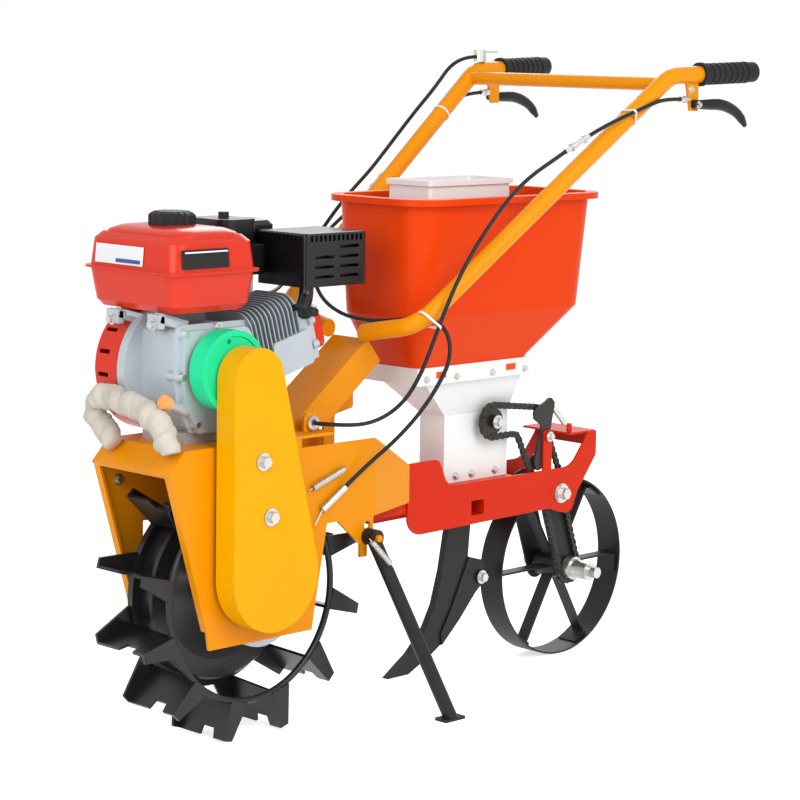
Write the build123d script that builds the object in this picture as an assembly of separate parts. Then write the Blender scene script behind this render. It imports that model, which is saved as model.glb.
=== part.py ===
from build123d import *
import math
import os

# Walk-behind seed planter with a petrol engine over a lugged drive wheel, a seed hopper with
# its metering box, an opener and a spoked ground wheel that drives the seed metering by chain.
# Millimetres. X runs forward to the drive wheel, Y to the machine's left, Z up from the ground.
# The pieces are laid out with X zero at the drive axle; the whole machine is moved at the end
# so that the origin lies on the ground under the middle of its bounding box.

# Driving dimensions
wheel_base = 800
lug_radius = 238.5
ground_wheel_radius = 165.4
handle_height = 1069
handle_half_width = 234.3
side_plate_half_gap = 95
chassis_half_gap = 62.5
wheel_clearance = 12.7
axle_gap = 0.05
seat_gap = 0.3

# Drive wheel: an open ring and a dished drum joined by folded lugs
lug_count = 12
lug_plate = 5
lug_tooth_root = 36
lug_tooth_tip = 15
lug_tip_length = 26
lug_step_drop = 16
lug_notch_length = 32
lug_near_y = 71
lug_far_y = -46
ring_radius = 173
ring_rod_radius = 5.5
drum_radius = 168
drum_wall = 4
drum_flange_width = 12
drum_barrel_radius = 152
drum_well_radius = 118
drum_face_y = -8
drum_hub_radius = 46
drum_hub_y = -38
wheel_hub_radius = 24
wheel_bolt_circle = 34
wheel_bolt_radius = 5
wheel_bolt_head = 6
wheel_bolt_count = 5

# Gearbox inside the drive wheel
gearbox_radius = 80
gearbox_depth = 38
gearbox_rim = 7
gearbox_boss_radius = 30
gearbox_bolt_radius = 5
gearbox_bolt_head = 7
gearbox_bolt_count = 6
gearbox_clearance = 1.5

# Orange frame of folded plate
frame_plate = 5
bed_front_x = 168
bed_rear_x = -150
apron_drop = 36
apron_reach = 34
side_front_x = 196
side_rear_x = -352
side_drop = 67.8
side_flange = 14
side_foot_front_x = 122
side_foot_rear_x = -104
side_shoulder_x = -78
wing_lower_x = -136
wing_lower_z = 339
wing_drop = 20
wing_tip_z = 409
leg_window_low = 60
leg_window_height = 120
leg_window_inset = 22
wing_bend_x = -245
wing_end_half_gap = 69

# Inclined beam that carries the handlebar and the hopper end
beam_width = 84
beam_depth = 50
beam_angle = 142.4
beam_low_x = -112
beam_low_rise = 13
beam_length = 205
beam_wall = 5
bush_x = -124
bush_rise = 14
bush_near_y = 68
bush_radius = 12
bush_bore = 6
bush_lug_width = 34
post_x = -268
post_width = 26
post_plate = 5
post_top_rise = 70
post_ear_rise = 8
post_ear_reach = 43
post_pin_radius = 9

# Handlebar
handle_tube_radius = 15
handle_bend_x = -817
handle_foot_x = -272
handle_foot_half_width = 164
handle_foot_rise = 172
handle_root_x = -262
handle_root_rise = 142
handle_foot_bend = 52
handle_top_bend = 60
grip_start_x = -888
grip_end_x = -1028.5
grip_half_width = 250.5
grip_rise = 7
grip_radius = 18
grip_flange_radius = 21
grip_flange_length = 8
grip_cap = 5
grip_rib = 1.2
grip_rib_count = 7
crossbar_radius = 12
crossbar_drop = 24
lever_pivot_x = -876
lever_pivot_drop = 50.4
lever_tip_x = -984
lever_tip_drop = 93
lever_plate = 5
lever_bracket_plate = 4
lever_bracket_width = 26
lever_root_width = 20
lever_tip_width = 11
lever_boss_radius = 11
throttle_back_x = -12
throttle_body_radius = 12
throttle_body_length = 22
throttle_arm_length = 46
throttle_arm_width = 11
throttle_arm_drop = 5
throttle_arm_plate = 4


# Control cables
cable_bend_share = 0.45
cable_radius = 3.5
cable_drop = 41
cable_stop_radius = 5
throttle_cable_rise = 10
carburettor_cable_drop = 42
adjuster_x = -167
adjuster_y = 104
adjuster_z = 397
adjuster_reach = 48
adjuster_drop = 33
adjuster_radius = 6
adjuster_wire = 3
adjuster_wire_reach = 16
adjuster_wire_drop = 23
cable_wire = 1.2
clutch_spring_front_x = -90
clutch_spring_rear_x = -174
clutch_spring_front_z = 400
clutch_spring_rear_z = 429
clutch_spring_radius = 5.5
clutch_spring_wire = 1.5

# Engine
crank_x = 66
crank_rise = 110
case_front_x = 148
case_chin_x = 118
case_chin_rise = 66
case_rear_x = -28
case_half_width = 60
case_top_rise = 190
case_corner = 14
case_foot_height = 18
case_foot_reach = 8
case_wall = 7
bell_radius = 112
bell_depth = 18
cover_depth = 18
cover_flange = 6
cover_step = 9
cover_boss_radius = 34
cover_boss_depth = 8
cover_bolt_radius = 7
dipstick_x = 131
dipstick_rise = 55
dipstick_reach = 34
dipstick_lift = 14
dipstick_radius = 9
dipstick_cap_radius = 12
cylinder_angle = 165
cylinder_start = 52
cylinder_length = 128
cylinder_width = 112
cylinder_side_y = 4
fin_above = 72
fin_below = 52
fin_corner = 26
fin_core = 84
fin_count = 15
fin_thickness = 2.6
head_length = 34
head_width = 100
head_above = 34
head_below = 48
head_box_start = 115
head_box_end = 197
head_box_above = 8
head_box_below = 50
head_box_inner_y = 40
head_box_outer_y = 62
head_box_corner = 8
head_bolt_radius = 7
head_bolt_depth = 12
valve_cover_length = 24
valve_cover_corner = 16
recoil_radius = 107
recoil_depth = 62
recoil_wall = 2.5
recoil_cup_radius = 72
recoil_cup_depth = 22
recoil_slot_count = 10
recoil_slot_height = 26
recoil_slot_width = 7
tank_centre_x = 86.6
tank_centre_y = -35
tank_seam_rise = 272.4
tank_length = 187.7
tank_width = 238.4
tank_top_rise = 328
tank_bottom_rise = 210
tank_taper = 14
tank_shoulder = 10
tank_corner = 26
tank_wall = 2.5
tank_neck_radius = 18
tank_flange = 6
tank_flange_plate = 4
cap_radius = 26
cap_height = 17
cap_flute_count = 18
cap_flute_radius = 2
tank_bracket_plate = 8
tank_bracket_width = 18
tank_bracket_top_x = 166
tank_bracket_foot_x = 112
tank_bracket_near_y = 27
tank_bracket_far_y = -75
tank_bracket_shift = 30
tank_bracket_bolt = 6
muffler_front_x = -115
muffler_rear_x = -255
muffler_near_y = 60
muffler_far_y = -62
muffler_top_rise = 322
muffler_bottom_rise = 234
muffler_wall = 2.5
muffler_corner = 10
muffler_core_gap = 14
slot_height = 5
slot_length = 42
slot_pitch = 16
slot_margin = 14
elbow_radius = 13
elbow_back_x = 9
elbow_in_y = 16
elbow_low_rise = 186
elbow_flange = 7
elbow_flange_radius = 15
elbow_flange_reach = 15
carburettor_length = 44
carburettor_width = 40
carburettor_root = 40
air_front_x = -12
air_rear_x = -112
air_near_y = -22
air_far_y = -142
air_bottom_rise = 252
air_step_rise = 300
air_top_rise = 342
air_dome_inset = 12
air_corner = 22
air_wall = 3
wing_nut_radius = 9
wing_nut_height = 10

# Wrapped arch in front of the engine
wrap_x = 187
wrap_half_span = 84
wrap_rise = 56
wrap_radius = 14
wrap_bend = 18
wrap_drop = 3

# Belt and chain case on the near side
chain_case_gap = 7
chain_case_depth = 43
chain_case_top_radius = 51
chain_case_bottom_radius = 90
chain_case_top_x = 58
chain_case_top_rise = 107
chain_case_bottom_x = 20
chain_case_bottom_rise = 46.2
chain_case_wall = 2.5
case_bolt_radius = 4
case_washer_radius = 12
case_washer = 3
case_nut_radius = 8
case_nut = 8
case_slot_length = 38
case_slot_height = 9
upper_bolt_x = 42
upper_bolt_drop = 23
lower_bolt_x = 27
lower_bolt_drop = 112
pulley_radius = 65
pulley_width = 33
pulley_x = 72
pulley_rise = 118
pulley_hole = 4
pulley_rim = 9
pulley_step = 3

# Hopper, its insert and its tray
hopper_front_x = -309.6
hopper_length = 489
hopper_rim_z = 861.8
hopper_half_width = 127
hopper_rim_height = 11
hopper_rim_overhang = 17
hopper_corner = 48
hopper_wall = 4
hopper_waist_z = 660
hopper_waist_front_x = -334
hopper_waist_rear_x = -764
hopper_waist_half_width = 101
hopper_foot_front_x = -372
hopper_foot_rear_x = -654
hopper_foot_half_width = 64
insert_length = 284
insert_width = 150
insert_centre_x = -510
insert_top_z = 888
insert_wall = 3
insert_lip = 9
insert_foot_length = 236
insert_foot_width = 104
tray_top_z = 571
tray_height = 27
tray_front_x = -370
tray_length = 288
tray_half_width = 66.6
tray_wall = 3
tray_tag_length = 26
tray_tag_height = 14
tray_tag = 1.5
tray_tag_pitch = 176

# Seed metering
meter_front_x = -476
meter_length = 162
meter_half_width = 30
meter_bottom_z = 356
meter_flare_z = 476
meter_throat_front_x = -396
meter_throat_length = 248
meter_throat_half_width = 58
meter_wall = 3
meter_shaft_x = -579
meter_shaft_z = 460
meter_shaft_reach = 26
meter_shaft_radius = 7
meter_nut_radius = 11
meter_nut = 8
meter_sprocket_teeth = 14
meter_lane_y = 50
arm_lane_y = 42
tension_x = -691
tension_low_z = 376
tension_rise = 87
tension_plate = 4
tension_roller_radius = 12
tension_sprocket_teeth = 9
tension_pin_radius = 5
slack_x = -632
slack_z = 417
slack_radius = 15
tension_spring_radius = 5
tension_spring_wire = 1.5
tension_hook_x = -790
tension_hook_y = 44
chain_pitch = 12.7
chain_width = 7
chain_plate_height = 10

# Red chassis
chassis_plate = 4
chassis_front_x = -355.6
chassis_length = 489.6
chassis_bottom_z = 285
chassis_height = 135
chassis_cross = 4
pivot_x = -749
pivot_z = 313
pivot_bolt_radius = 9
tab_x = -712
tab_width = 22
tab_top_z = 432
window_length = 32
window_height = 26
window_x = -530
link_bar_height = 50
link_low_z = 322
lip_height = 30
link_front_x = -268
link_rear_x = -423
link_bolt_radius = 8

# Ground wheel and its arms
ground_rim_width = 52.6
ground_rim_thickness = 3.2
ground_spoke_count = 6
ground_spoke_width = 24
ground_spoke_thickness = 4
ground_hub_radius = 24
ground_axle_radius = 10
arm_near_y = 38
arm_width = 58
arm_plate = 4
axle_near_y = 112
axle_far_y = -62
axle_sprocket_teeth = 12
axle_collar_radius = 21
axle_collar = 12
axle_nut_radius = 17
axle_nut_end_y = 94
far_nut = 12
pad_length = 34
pad_width = 40
pad_sink = 2
arm_hole_radius = 4
arm_hole_down = 34

# Opener
shank_front_x = -515
shank_thickness = 14
tip_reach = 147
boot_plate = 3
boot_bolt_x = -596
boot_bolt_z = 171
boot_bolt_radius = 7

# Side stand
stand_pivot_x = -228
stand_pivot_y = 108
stand_pivot_z = 306
stand_foot_x = -313.7
stand_foot_y = 212
stand_tube_radius = 12
stand_eye_radius = 14
stand_pin_radius = 6
stand_foot_length = 46
stand_foot_width = 26
stand_foot_plate = 5
stand_bracket_front_x = -160
stand_bracket_rear_x = -242
stand_bracket_hole = 7
stand_stop_low_z = 272
stand_stop_width = 16
stand_spring_radius = 5
stand_spring_wire = 1.6
stand_spring_top = 30
stand_spring_drop = 52

# Small helpers for this machine's plates, rods and bent tubes


def outline_face(points, corner=0):
    face = make_face(Polyline(*points, close=True))
    return fillet(face.vertices(), corner) if corner else face


def rounded_face(corners):
    # outline of straight edges and arcs: each corner is its two places and its radius
    edges, ends, count = [], [], len(corners)
    for k, (x, z, radius) in enumerate(corners):
        at = Vector(x, z)
        before = (Vector(*corners[k - 1][:2]) - at).normalized()
        after = (Vector(*corners[(k + 1) % count][:2]) - at).normalized()
        if not radius:
            ends.append((at, at))
            continue
        half = math.radians(before.get_angle(after)) / 2
        trim = radius / math.tan(half)
        first, last = at + before * trim, at + after * trim
        middle = (before + after).normalized()
        nearest = at + middle * (radius / math.sin(half) - radius)
        edges.append(ThreePointArc(first, nearest, last))
        ends.append((first, last))
    for k in range(count):
        edges.append(Line(ends[k][1], ends[(k + 1) % count][0]))
    return make_face(edges)


def rounded_cut(corners, low, high):
    # rounded outline in X and Z, thick from y = low to y = high
    plane = Plane((0, high, 0), x_dir=(1, 0, 0), z_dir=(0, -1, 0))
    return extrude(plane * rounded_face(corners), amount=high - low, dir=(0, -1, 0))


def bar_between(start, end, width, plate):
    # flat bar from one point to another, its width level
    axis = Vector(*end) - Vector(*start)
    level = Vector(0, 0, 1).cross(axis)
    frame = Plane(origin=(Vector(*start) + Vector(*end)) / 2, x_dir=level, z_dir=axis)
    return frame * Box(width, plate, axis.length)


def side_cut(points, low, high, corner=0):
    # outline in X and Z, thick from y = low to y = high
    plane = Plane((0, high, 0), x_dir=(1, 0, 0), z_dir=(0, -1, 0))
    return extrude(plane * outline_face(points, corner), amount=high - low, dir=(0, -1, 0))


def level_cut(points, low, high, corner=0):
    # outline in X and Y, thick from z = low to z = high
    plane = Plane((0, 0, low))
    return extrude(plane * outline_face(points, corner), amount=high - low, dir=(0, 0, 1))


def block(x, y, z):
    size = [abs(pair[1] - pair[0]) for pair in (x, y, z)]
    return Pos(sum(x) / 2, sum(y) / 2, sum(z) / 2) * Box(*size)


def rod(start, end, radius):
    axis = Vector(*end) - Vector(*start)
    return Plane(origin=(Vector(*start) + Vector(*end)) / 2, z_dir=axis) * Cylinder(
        radius, axis.length
    )


def cross_rod(x, z, radius, low, high):
    return rod((x, low, z), (x, high, z), radius)


def bent_tube(points, radius, bends):
    path = FilletPolyline(*points, radius=bends)
    return sweep(Plane(origin=path @ 0, z_dir=path % 0) * Circle(radius), path=path)


def largest(piece):
    # what is left of a piece once its neighbours have cut off its loose corners
    return Part() + piece.solids().sort_by(SortBy.VOLUME)[-1]


def far_side(piece):
    return mirror(piece, about=Plane.XZ)


def spin(piece, angle):
    # turns a piece that points along +X to the given angle, counted from +X towards +Z
    return piece.rotate(Axis.Y, -angle)


# Heights that follow the drive wheel

half_pitch = 180 / lug_count
tip_angle = math.degrees(math.asin(lug_tooth_tip / lug_radius))
axle_height = lug_radius * math.cos(math.radians(half_pitch - tip_angle))
bed_top = axle_height + lug_radius + wheel_clearance + frame_plate
bed_under = bed_top - frame_plate
side_bottom_z = axle_height - side_drop
wing_top_z = bed_top - wing_drop
crank_z = bed_top + crank_rise
case_top_z = bed_top + case_top_rise
tank_seam_z = bed_top + tank_seam_rise
tank_top_z = bed_top + tank_top_rise
tank_bottom_z = bed_top + tank_bottom_rise
muffler_top_z = bed_top + muffler_top_rise
muffler_bottom_z = bed_top + muffler_bottom_rise
air_bottom_z = bed_top + air_bottom_rise
air_step_z = bed_top + air_step_rise
air_top_z = bed_top + air_top_rise
chain_case_top_z = bed_top + chain_case_top_rise
chain_case_bottom_z = axle_height + chain_case_bottom_rise
pulley_z = bed_top + pulley_rise
beam_low_z = bed_top + beam_low_rise
bush_z = bed_top + bush_rise
handle_foot_z = bed_top + handle_foot_rise
lever_pivot_z = handle_height - lever_pivot_drop
lever_tip_z = handle_height - lever_tip_drop
cable_start_z = handle_height - cable_drop
handle_root_z = bed_top + handle_root_rise
tension_high_z = tension_low_z + tension_rise

# Drive wheel


def make_lug():
    # points forward: radius along X, the wheel's width along Y, folded towards -Z near, +Z far
    half = lug_plate / 2
    notch_near = lug_near_y - lug_tip_length
    notch_far = notch_near - lug_notch_length
    over = lug_radius + lug_plate
    corner = lug_radius * math.cos(math.radians(tip_angle))
    web = level_cut(
        [
            (ring_radius, lug_near_y),
            (over, lug_near_y),
            (over, notch_near),
            (lug_radius - lug_step_drop, notch_near - lug_step_drop / 4),
            (lug_radius - lug_step_drop, notch_far),
            (over, notch_far - lug_step_drop / 4),
            (over, lug_far_y),
            (drum_radius - drum_wall, lug_far_y),
        ],
        -half,
        half,
    )
    tooth = side_cut(
        [
            (ring_radius, half),
            (over, half),
            (over, -lug_tooth_tip),
            (corner, -lug_tooth_tip),
            (ring_radius, half - lug_tooth_root),
        ],
        lug_near_y - lug_plate,
        lug_near_y,
    )
    far_tooth = side_cut(
        [
            (drum_radius - drum_wall, -half),
            (over, -half),
            (over, lug_tooth_tip),
            (corner, lug_tooth_tip),
            (drum_radius - drum_wall, lug_tooth_root - half),
        ],
        lug_far_y,
        lug_far_y + lug_plate,
    )
    return web + tooth + far_tooth


def make_lug_ring():
    lug = make_lug() & cross_rod(0, 0, lug_radius, lug_far_y - lug_plate, lug_near_y + lug_plate)
    ring = Plane((0, lug_near_y - ring_rod_radius - lug_plate / 4, 0), z_dir=(0, 1, 0)) * Torus(
        ring_radius, ring_rod_radius
    )
    for k in range(lug_count):
        ring += spin(lug, half_pitch * (2 * k + 1) - 90)
    ring -= cross_rod(0, 0, drum_radius, lug_far_y, lug_far_y + drum_flange_width)
    return ring.translate((0, 0, axle_height))


def drum_profile():
    # radius and width, along the outside from the far flange to the hub and back inside
    flange_near = lug_far_y + drum_flange_width
    return [
        (drum_radius, lug_far_y),
        (drum_radius, flange_near),
        (drum_barrel_radius, flange_near),
        (drum_barrel_radius, drum_face_y - drum_wall),
        (drum_barrel_radius - drum_wall, drum_face_y),
        (drum_well_radius, drum_face_y),
        (drum_hub_radius, drum_hub_y + drum_wall),
        (wheel_hub_radius / 2, drum_hub_y + drum_wall),
        (wheel_hub_radius / 2, drum_hub_y),
        (drum_hub_radius, drum_hub_y),
        (drum_well_radius, drum_face_y - drum_wall),
        (drum_barrel_radius - 2 * drum_wall, drum_face_y - drum_wall),
        (drum_barrel_radius - drum_wall, drum_face_y - 2 * drum_wall),
        (drum_barrel_radius - drum_wall, flange_near - drum_wall),
        (drum_radius - drum_wall, flange_near - drum_wall),
        (drum_radius - drum_wall, lug_far_y),
    ]


def make_drum():
    face = make_face(Polyline(*drum_profile(), close=True))
    drum = revolve(face, Axis.Y)
    for k in range(wheel_bolt_count):
        turn = math.radians(k * 360 / wheel_bolt_count)
        x, z = wheel_bolt_circle * math.cos(turn), wheel_bolt_circle * math.sin(turn)
        top = drum_hub_y + drum_wall
        drum += cross_rod(x, z, wheel_bolt_radius, top, top + wheel_bolt_head)
    return drum.translate((0, 0, axle_height))


def make_drive_axle():
    shaft = cross_rod(
        0, axle_height, wheel_hub_radius / 2, drum_hub_y, side_inner - seat_gap
    )
    hub = cross_rod(
        0, axle_height, wheel_hub_radius, drum_hub_y + drum_wall, gear_far_y - gearbox_clearance
    )
    return shaft + hub


side_inner = side_plate_half_gap - frame_plate
gear_far_y = side_inner - gearbox_depth
gearbox_bore = wheel_hub_radius / 2 + axle_gap


def make_gearbox():
    body = cross_rod(0, axle_height, gearbox_radius, gear_far_y, side_inner)
    body -= cross_rod(
        0, axle_height, gearbox_radius - gearbox_rim, gear_far_y, gear_far_y + gearbox_rim
    )
    body += cross_rod(0, axle_height, gearbox_boss_radius, gear_far_y, side_inner)
    bolt_circle = gearbox_radius - gearbox_rim
    for k in range(gearbox_bolt_count):
        turn = math.radians((k + 1 / 2) * 360 / gearbox_bolt_count)
        x = bolt_circle * math.cos(turn)
        z = axle_height + bolt_circle * math.sin(turn)
        body += cross_rod(
            x, z, gearbox_bolt_head, gear_far_y - gearbox_bolt_radius, side_inner
        )
    return body - cross_rod(0, axle_height, gearbox_bore, gear_far_y, side_inner)


# Orange frame: bed, two folded side plates and the beam

def make_engine_bed():
    width = (-side_plate_half_gap, side_plate_half_gap)
    bed = block((bed_rear_x, bed_front_x), width, (bed_under, bed_top))
    apron = side_cut(
        [
            (bed_front_x - frame_plate, bed_under),
            (bed_front_x, bed_top),
            (bed_front_x + apron_reach, bed_top - apron_drop),
            (bed_front_x + apron_reach - frame_plate, bed_under - apron_drop),
        ],
        *width,
    )
    return bed + apron


# Side plate outline: X and Z, front top corner first, running down the front leg
def side_outline():
    return [
        (bed_front_x - frame_plate, bed_under),
        (bed_front_x + apron_reach - frame_plate, bed_under - apron_drop),
        (side_foot_front_x, side_bottom_z + gearbox_boss_radius),
        (side_foot_front_x - frame_plate, side_bottom_z),
        (side_foot_rear_x, side_bottom_z),
        (side_foot_rear_x - frame_plate, side_bottom_z + gearbox_boss_radius),
        (wing_lower_x, wing_lower_z),
        (wing_bend_x, wing_lower_z),
        (side_rear_x, wing_lower_z + frame_plate),
        (side_rear_x, wing_tip_z),
        (wing_bend_x, wing_top_z),
        (side_shoulder_x, wing_top_z),
        (side_shoulder_x, bed_under),
    ]


def wing_strip():
    # plan of the folded plate: straight beside the wheel, then bent in to the chassis
    near, inner = side_plate_half_gap, side_inner
    end_near = wing_end_half_gap
    return [
        (side_front_x + side_flange, near),
        (wing_bend_x, near),
        (side_rear_x, end_near),
        (side_rear_x, end_near - frame_plate),
        (wing_bend_x, inner),
        (side_front_x + side_flange, inner),
    ]


def wing_inside():
    # plan of the space between the two folded plates, as far back as the chassis reaches
    end_inner = wing_end_half_gap - frame_plate
    half = [
        (side_front_x, side_inner),
        (wing_bend_x, side_inner),
        (side_rear_x, end_inner),
        (-wheel_base, end_inner),
    ]
    return half + [(x, -y) for x, y in reversed(half)]


def make_side_plate():
    plate = side_cut(side_outline(), 0, 2 * side_plate_half_gap)
    plate &= level_cut(wing_strip(), 0, bed_top)
    top = (bed_front_x + apron_reach - frame_plate, bed_under - apron_drop)
    foot = (side_foot_front_x, side_bottom_z + gearbox_boss_radius)
    flange = side_cut(
        [top, foot, (foot[0] - frame_plate, foot[1]), (top[0] - frame_plate, top[1])],
        side_plate_half_gap - side_flange,
        side_plate_half_gap,
    )
    return plate + flange


def make_leg_window():
    # opening in the far leg, where no gearbox is bolted on
    low = side_bottom_z + leg_window_low
    return block(
        (side_foot_rear_x + leg_window_inset, side_foot_front_x - leg_window_inset),
        (0, 2 * side_plate_half_gap),
        (low, low + leg_window_height),
    )


# Inclined beam, the cable bush beside its foot and the post behind it

beam_run = (math.cos(math.radians(beam_angle)), math.sin(math.radians(beam_angle)))
beam_side = (beam_run[1], -beam_run[0])


def beam_point(along, across):
    return (
        beam_low_x + beam_run[0] * along - beam_side[0] * across,
        beam_low_z + beam_run[1] * along - beam_side[1] * across,
    )


def beam_bar():
    # the beam's own slope, long enough to be cut off at the bed
    reach = beam_length
    points = [
        beam_point(-reach, 0),
        beam_point(reach, 0),
        beam_point(reach, beam_depth),
        beam_point(-reach, beam_depth),
    ]
    bar = side_cut(points, -beam_width / 2, beam_width / 2)
    above = block(
        (-wheel_base, wheel_base), (-beam_width, beam_width), (bed_top, bed_top + wheel_base)
    )
    return bar & above


def make_beam():
    points = [
        beam_point(-beam_length, beam_wall),
        beam_point(beam_length + beam_wall, beam_wall),
        beam_point(beam_length + beam_wall, beam_depth - beam_wall),
        beam_point(-beam_length, beam_depth - beam_wall),
    ]
    inner = side_cut(points, beam_wall - beam_width / 2, beam_width / 2 - beam_wall)
    return beam_bar() - inner


def make_beam_bush():
    # upright lug on the bed's edge with a steel bush that the cable's end enters
    low = side_plate_half_gap - frame_plate
    lug = rounded_cut(
        [
            (bush_x - bush_lug_width / 2, bed_top, 0),
            (bush_x - bush_lug_width / 2, bush_z + bush_lug_width / 2, bush_lug_width / 3),
            (bush_x + bush_lug_width / 2, bush_z + bush_lug_width / 2, bush_lug_width / 3),
            (bush_x + bush_lug_width / 2, bed_top, 0),
        ],
        bush_near_y - frame_plate,
        bush_near_y,
    )
    return lug - cross_rod(bush_x, bush_z, bush_radius, 0, 2 * bush_near_y)


def make_bush():
    bush = cross_rod(
        bush_x, bush_z, bush_radius - axle_gap, bush_near_y - 2 * frame_plate, bush_near_y + bush_bore
    )
    return bush - cross_rod(bush_x, bush_z, bush_bore, bush_near_y, 2 * bush_near_y)


def make_post():
    # plate from the hitch bar up beside the beam, with an ear bent back and a pin
    half = post_width / 2
    low = link_low_z + link_bar_height + seat_gap
    top = bed_top + post_top_rise
    far = beam_width / 2 + seat_gap
    rear = post_x - half - post_ear_reach
    plate = rounded_cut(
        [
            (post_x - half, low, 0),
            (post_x + half, low, 0),
            (post_x + half, top, post_plate),
            (rear, top - post_ear_rise, post_plate),
            (rear, bed_top + post_ear_rise, post_plate),
            (post_x - half, bed_top, post_plate),
        ],
        -far - post_plate,
        -far,
    )
    pin = cross_rod(
        post_x, (bed_top + top) / 2, post_pin_radius, -far - 2 * post_plate, -far - post_plate
    )
    return plate + pin


# Handlebar with its cross tube, grips and levers


def handle_point(along):
    # a point of the near upper tube, counted along it from its top bend
    start = Vector(handle_bend_x, handle_half_width, handle_height)
    end = Vector(handle_foot_x, handle_foot_half_width, handle_foot_z)
    return start + (end - start).normalized() * along


def make_handlebar():
    grip_z = handle_height + grip_rise
    route = [
        (grip_end_x + grip_cap, grip_half_width, grip_z),
        (handle_bend_x, handle_half_width, handle_height),
        (handle_foot_x, handle_foot_half_width, handle_foot_z),
        (handle_root_x, 0, handle_root_z),
    ]
    side = bent_tube(route, handle_tube_radius, (handle_top_bend, handle_foot_bend))
    near_half = block(
        (-2 * wheel_base, wheel_base), (beam_width / 2, wheel_base), (0, 2 * handle_height)
    )
    side &= near_half
    top = handle_point(crossbar_drop)
    bar = rod((top.X, -top.Y, top.Z), (top.X, top.Y, top.Z), crossbar_radius)
    side += make_lever_bracket()
    return side + far_side(side) + bar


def grip_axis():
    start = Vector(handle_bend_x, handle_half_width, handle_height)
    end = Vector(grip_end_x + grip_cap, grip_half_width, handle_height + grip_rise)
    return end, (start - end).normalized()


def make_grip():
    # sleeve over the bar's end, with a closed cap, a flange at its front end and raised rings
    end, run = grip_axis()
    length = grip_start_x - grip_end_x - grip_cap

    def at(along):
        return tuple(end + run * along)

    grip = rod(at(-grip_cap), at(length), grip_radius)
    grip += rod(at(length - grip_flange_length), at(length), grip_flange_radius)
    pitch = length / (grip_rib_count + 2)
    for k in range(grip_rib_count):
        low = pitch * (k + 1)
        grip += rod(at(low), at(low + pitch / 2), grip_radius + grip_rib)
    return grip - rod(at(0), at(length + grip_cap), handle_tube_radius)


def make_lever_bracket():
    end, run = grip_axis()
    middle = handle_half_width + (grip_half_width - handle_half_width) / 3
    half = lever_bracket_plate / 2
    top = handle_height + grip_rise / 3
    plate = side_cut(
        [
            (lever_pivot_x + lever_bracket_width, top),
            (lever_pivot_x - lever_boss_radius, top),
            (lever_pivot_x - lever_boss_radius, lever_pivot_z - lever_boss_radius),
            (lever_pivot_x + lever_boss_radius, lever_pivot_z - lever_boss_radius),
        ],
        middle - half,
        middle + half,
    )
    plate += rod(
        (lever_pivot_x + lever_boss_radius, middle, cable_start_z),
        (lever_pivot_x + lever_bracket_width, middle, cable_start_z),
        cable_stop_radius,
    )
    return plate - rod(tuple(end), tuple(end + run * 2 * wheel_base), handle_tube_radius)


def lever_plane():
    middle = handle_half_width + (grip_half_width - handle_half_width) / 3
    return middle + lever_bracket_plate / 2 + axle_gap


def make_lever():
    low = lever_plane()
    middle_x = (lever_pivot_x + lever_tip_x) / 2
    middle_z = lever_pivot_z + lever_root_width / 4
    blade = side_cut(
        [
            (lever_pivot_x, lever_pivot_z + lever_root_width / 2),
            (middle_x, middle_z + lever_root_width / 3),
            (lever_tip_x, lever_tip_z + lever_tip_width / 2),
            (lever_tip_x, lever_tip_z - lever_tip_width / 2),
            (middle_x, middle_z - lever_root_width / 2),
            (lever_pivot_x, lever_pivot_z - lever_root_width / 2),
        ],
        low,
        low + lever_plate,
    )
    boss = cross_rod(lever_pivot_x, lever_pivot_z, lever_boss_radius, low, low + lever_plate)
    return blade + boss


def make_throttle():
    # clamp body on the far bar with a short arm that lies back along the bar
    end, run = grip_axis()
    base = end + run * ((handle_bend_x + throttle_back_x - end.X) / run.X)
    up = Vector(0, 0, 1)
    foot = base + up * (handle_tube_radius + 2 * seat_gap)
    top = foot + up * throttle_body_length
    body = rod(tuple(foot), tuple(top), throttle_body_radius)
    arm = bar_between(
        tuple(top - up * throttle_arm_plate),
        tuple(top - run * throttle_arm_length - up * throttle_arm_drop),
        throttle_arm_width,
        throttle_arm_plate,
    )
    return far_side(body + arm)


# Control cables: shares of the way from the first end to the last along X, Y and Z

clutch_shares = (
    (0.078, -0.02, -0.004),
    (0.155, -0.045, 0.022),
    (0.231, -0.013, 0.055),
    (0.304, 0.017, 0.092),
    (0.375, 0.054, 0.138),
    (0.443, 0.099, 0.189),
    (0.511, 0.149, 0.24),
    (0.572, 0.184, 0.306),
    (0.627, 0.205, 0.385),
    (0.678, 0.221, 0.467),
    (0.724, 0.231, 0.554),
    (0.761, 0.247, 0.649),
    (0.785, 0.304, 0.751),
    (0.8, 0.402, 0.853),
    (0.826, 0.527, 0.945),
    (0.887, 0.639, 1),
    (0.962, 0.739, 1.005),
)

brake_shares = (
    (0.084, -0.008, 0.003),
    (0.162, -0.016, 0.044),
    (0.233, -0.004, 0.095),
    (0.299, 0.005, 0.152),
    (0.369, 0.021, 0.205),
    (0.438, 0.04, 0.258),
    (0.509, 0.062, 0.309),
    (0.585, 0.087, 0.347),
    (0.66, 0.125, 0.387),
    (0.727, 0.183, 0.434),
    (0.772, 0.27, 0.496),
    (0.796, 0.395, 0.552),
    (0.805, 0.552, 0.583),
    (0.806, 0.721, 0.592),
    (0.804, 0.89, 0.585),
    (0.796, 1.055, 0.568),
    (0.773, 1.212, 0.58),
    (0.773, 1.26, 0.661),
    (0.799, 1.215, 0.745),
    (0.832, 1.149, 0.822),
    (0.869, 1.065, 0.891),
    (0.934, 1.008, 0.951),
)

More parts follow.
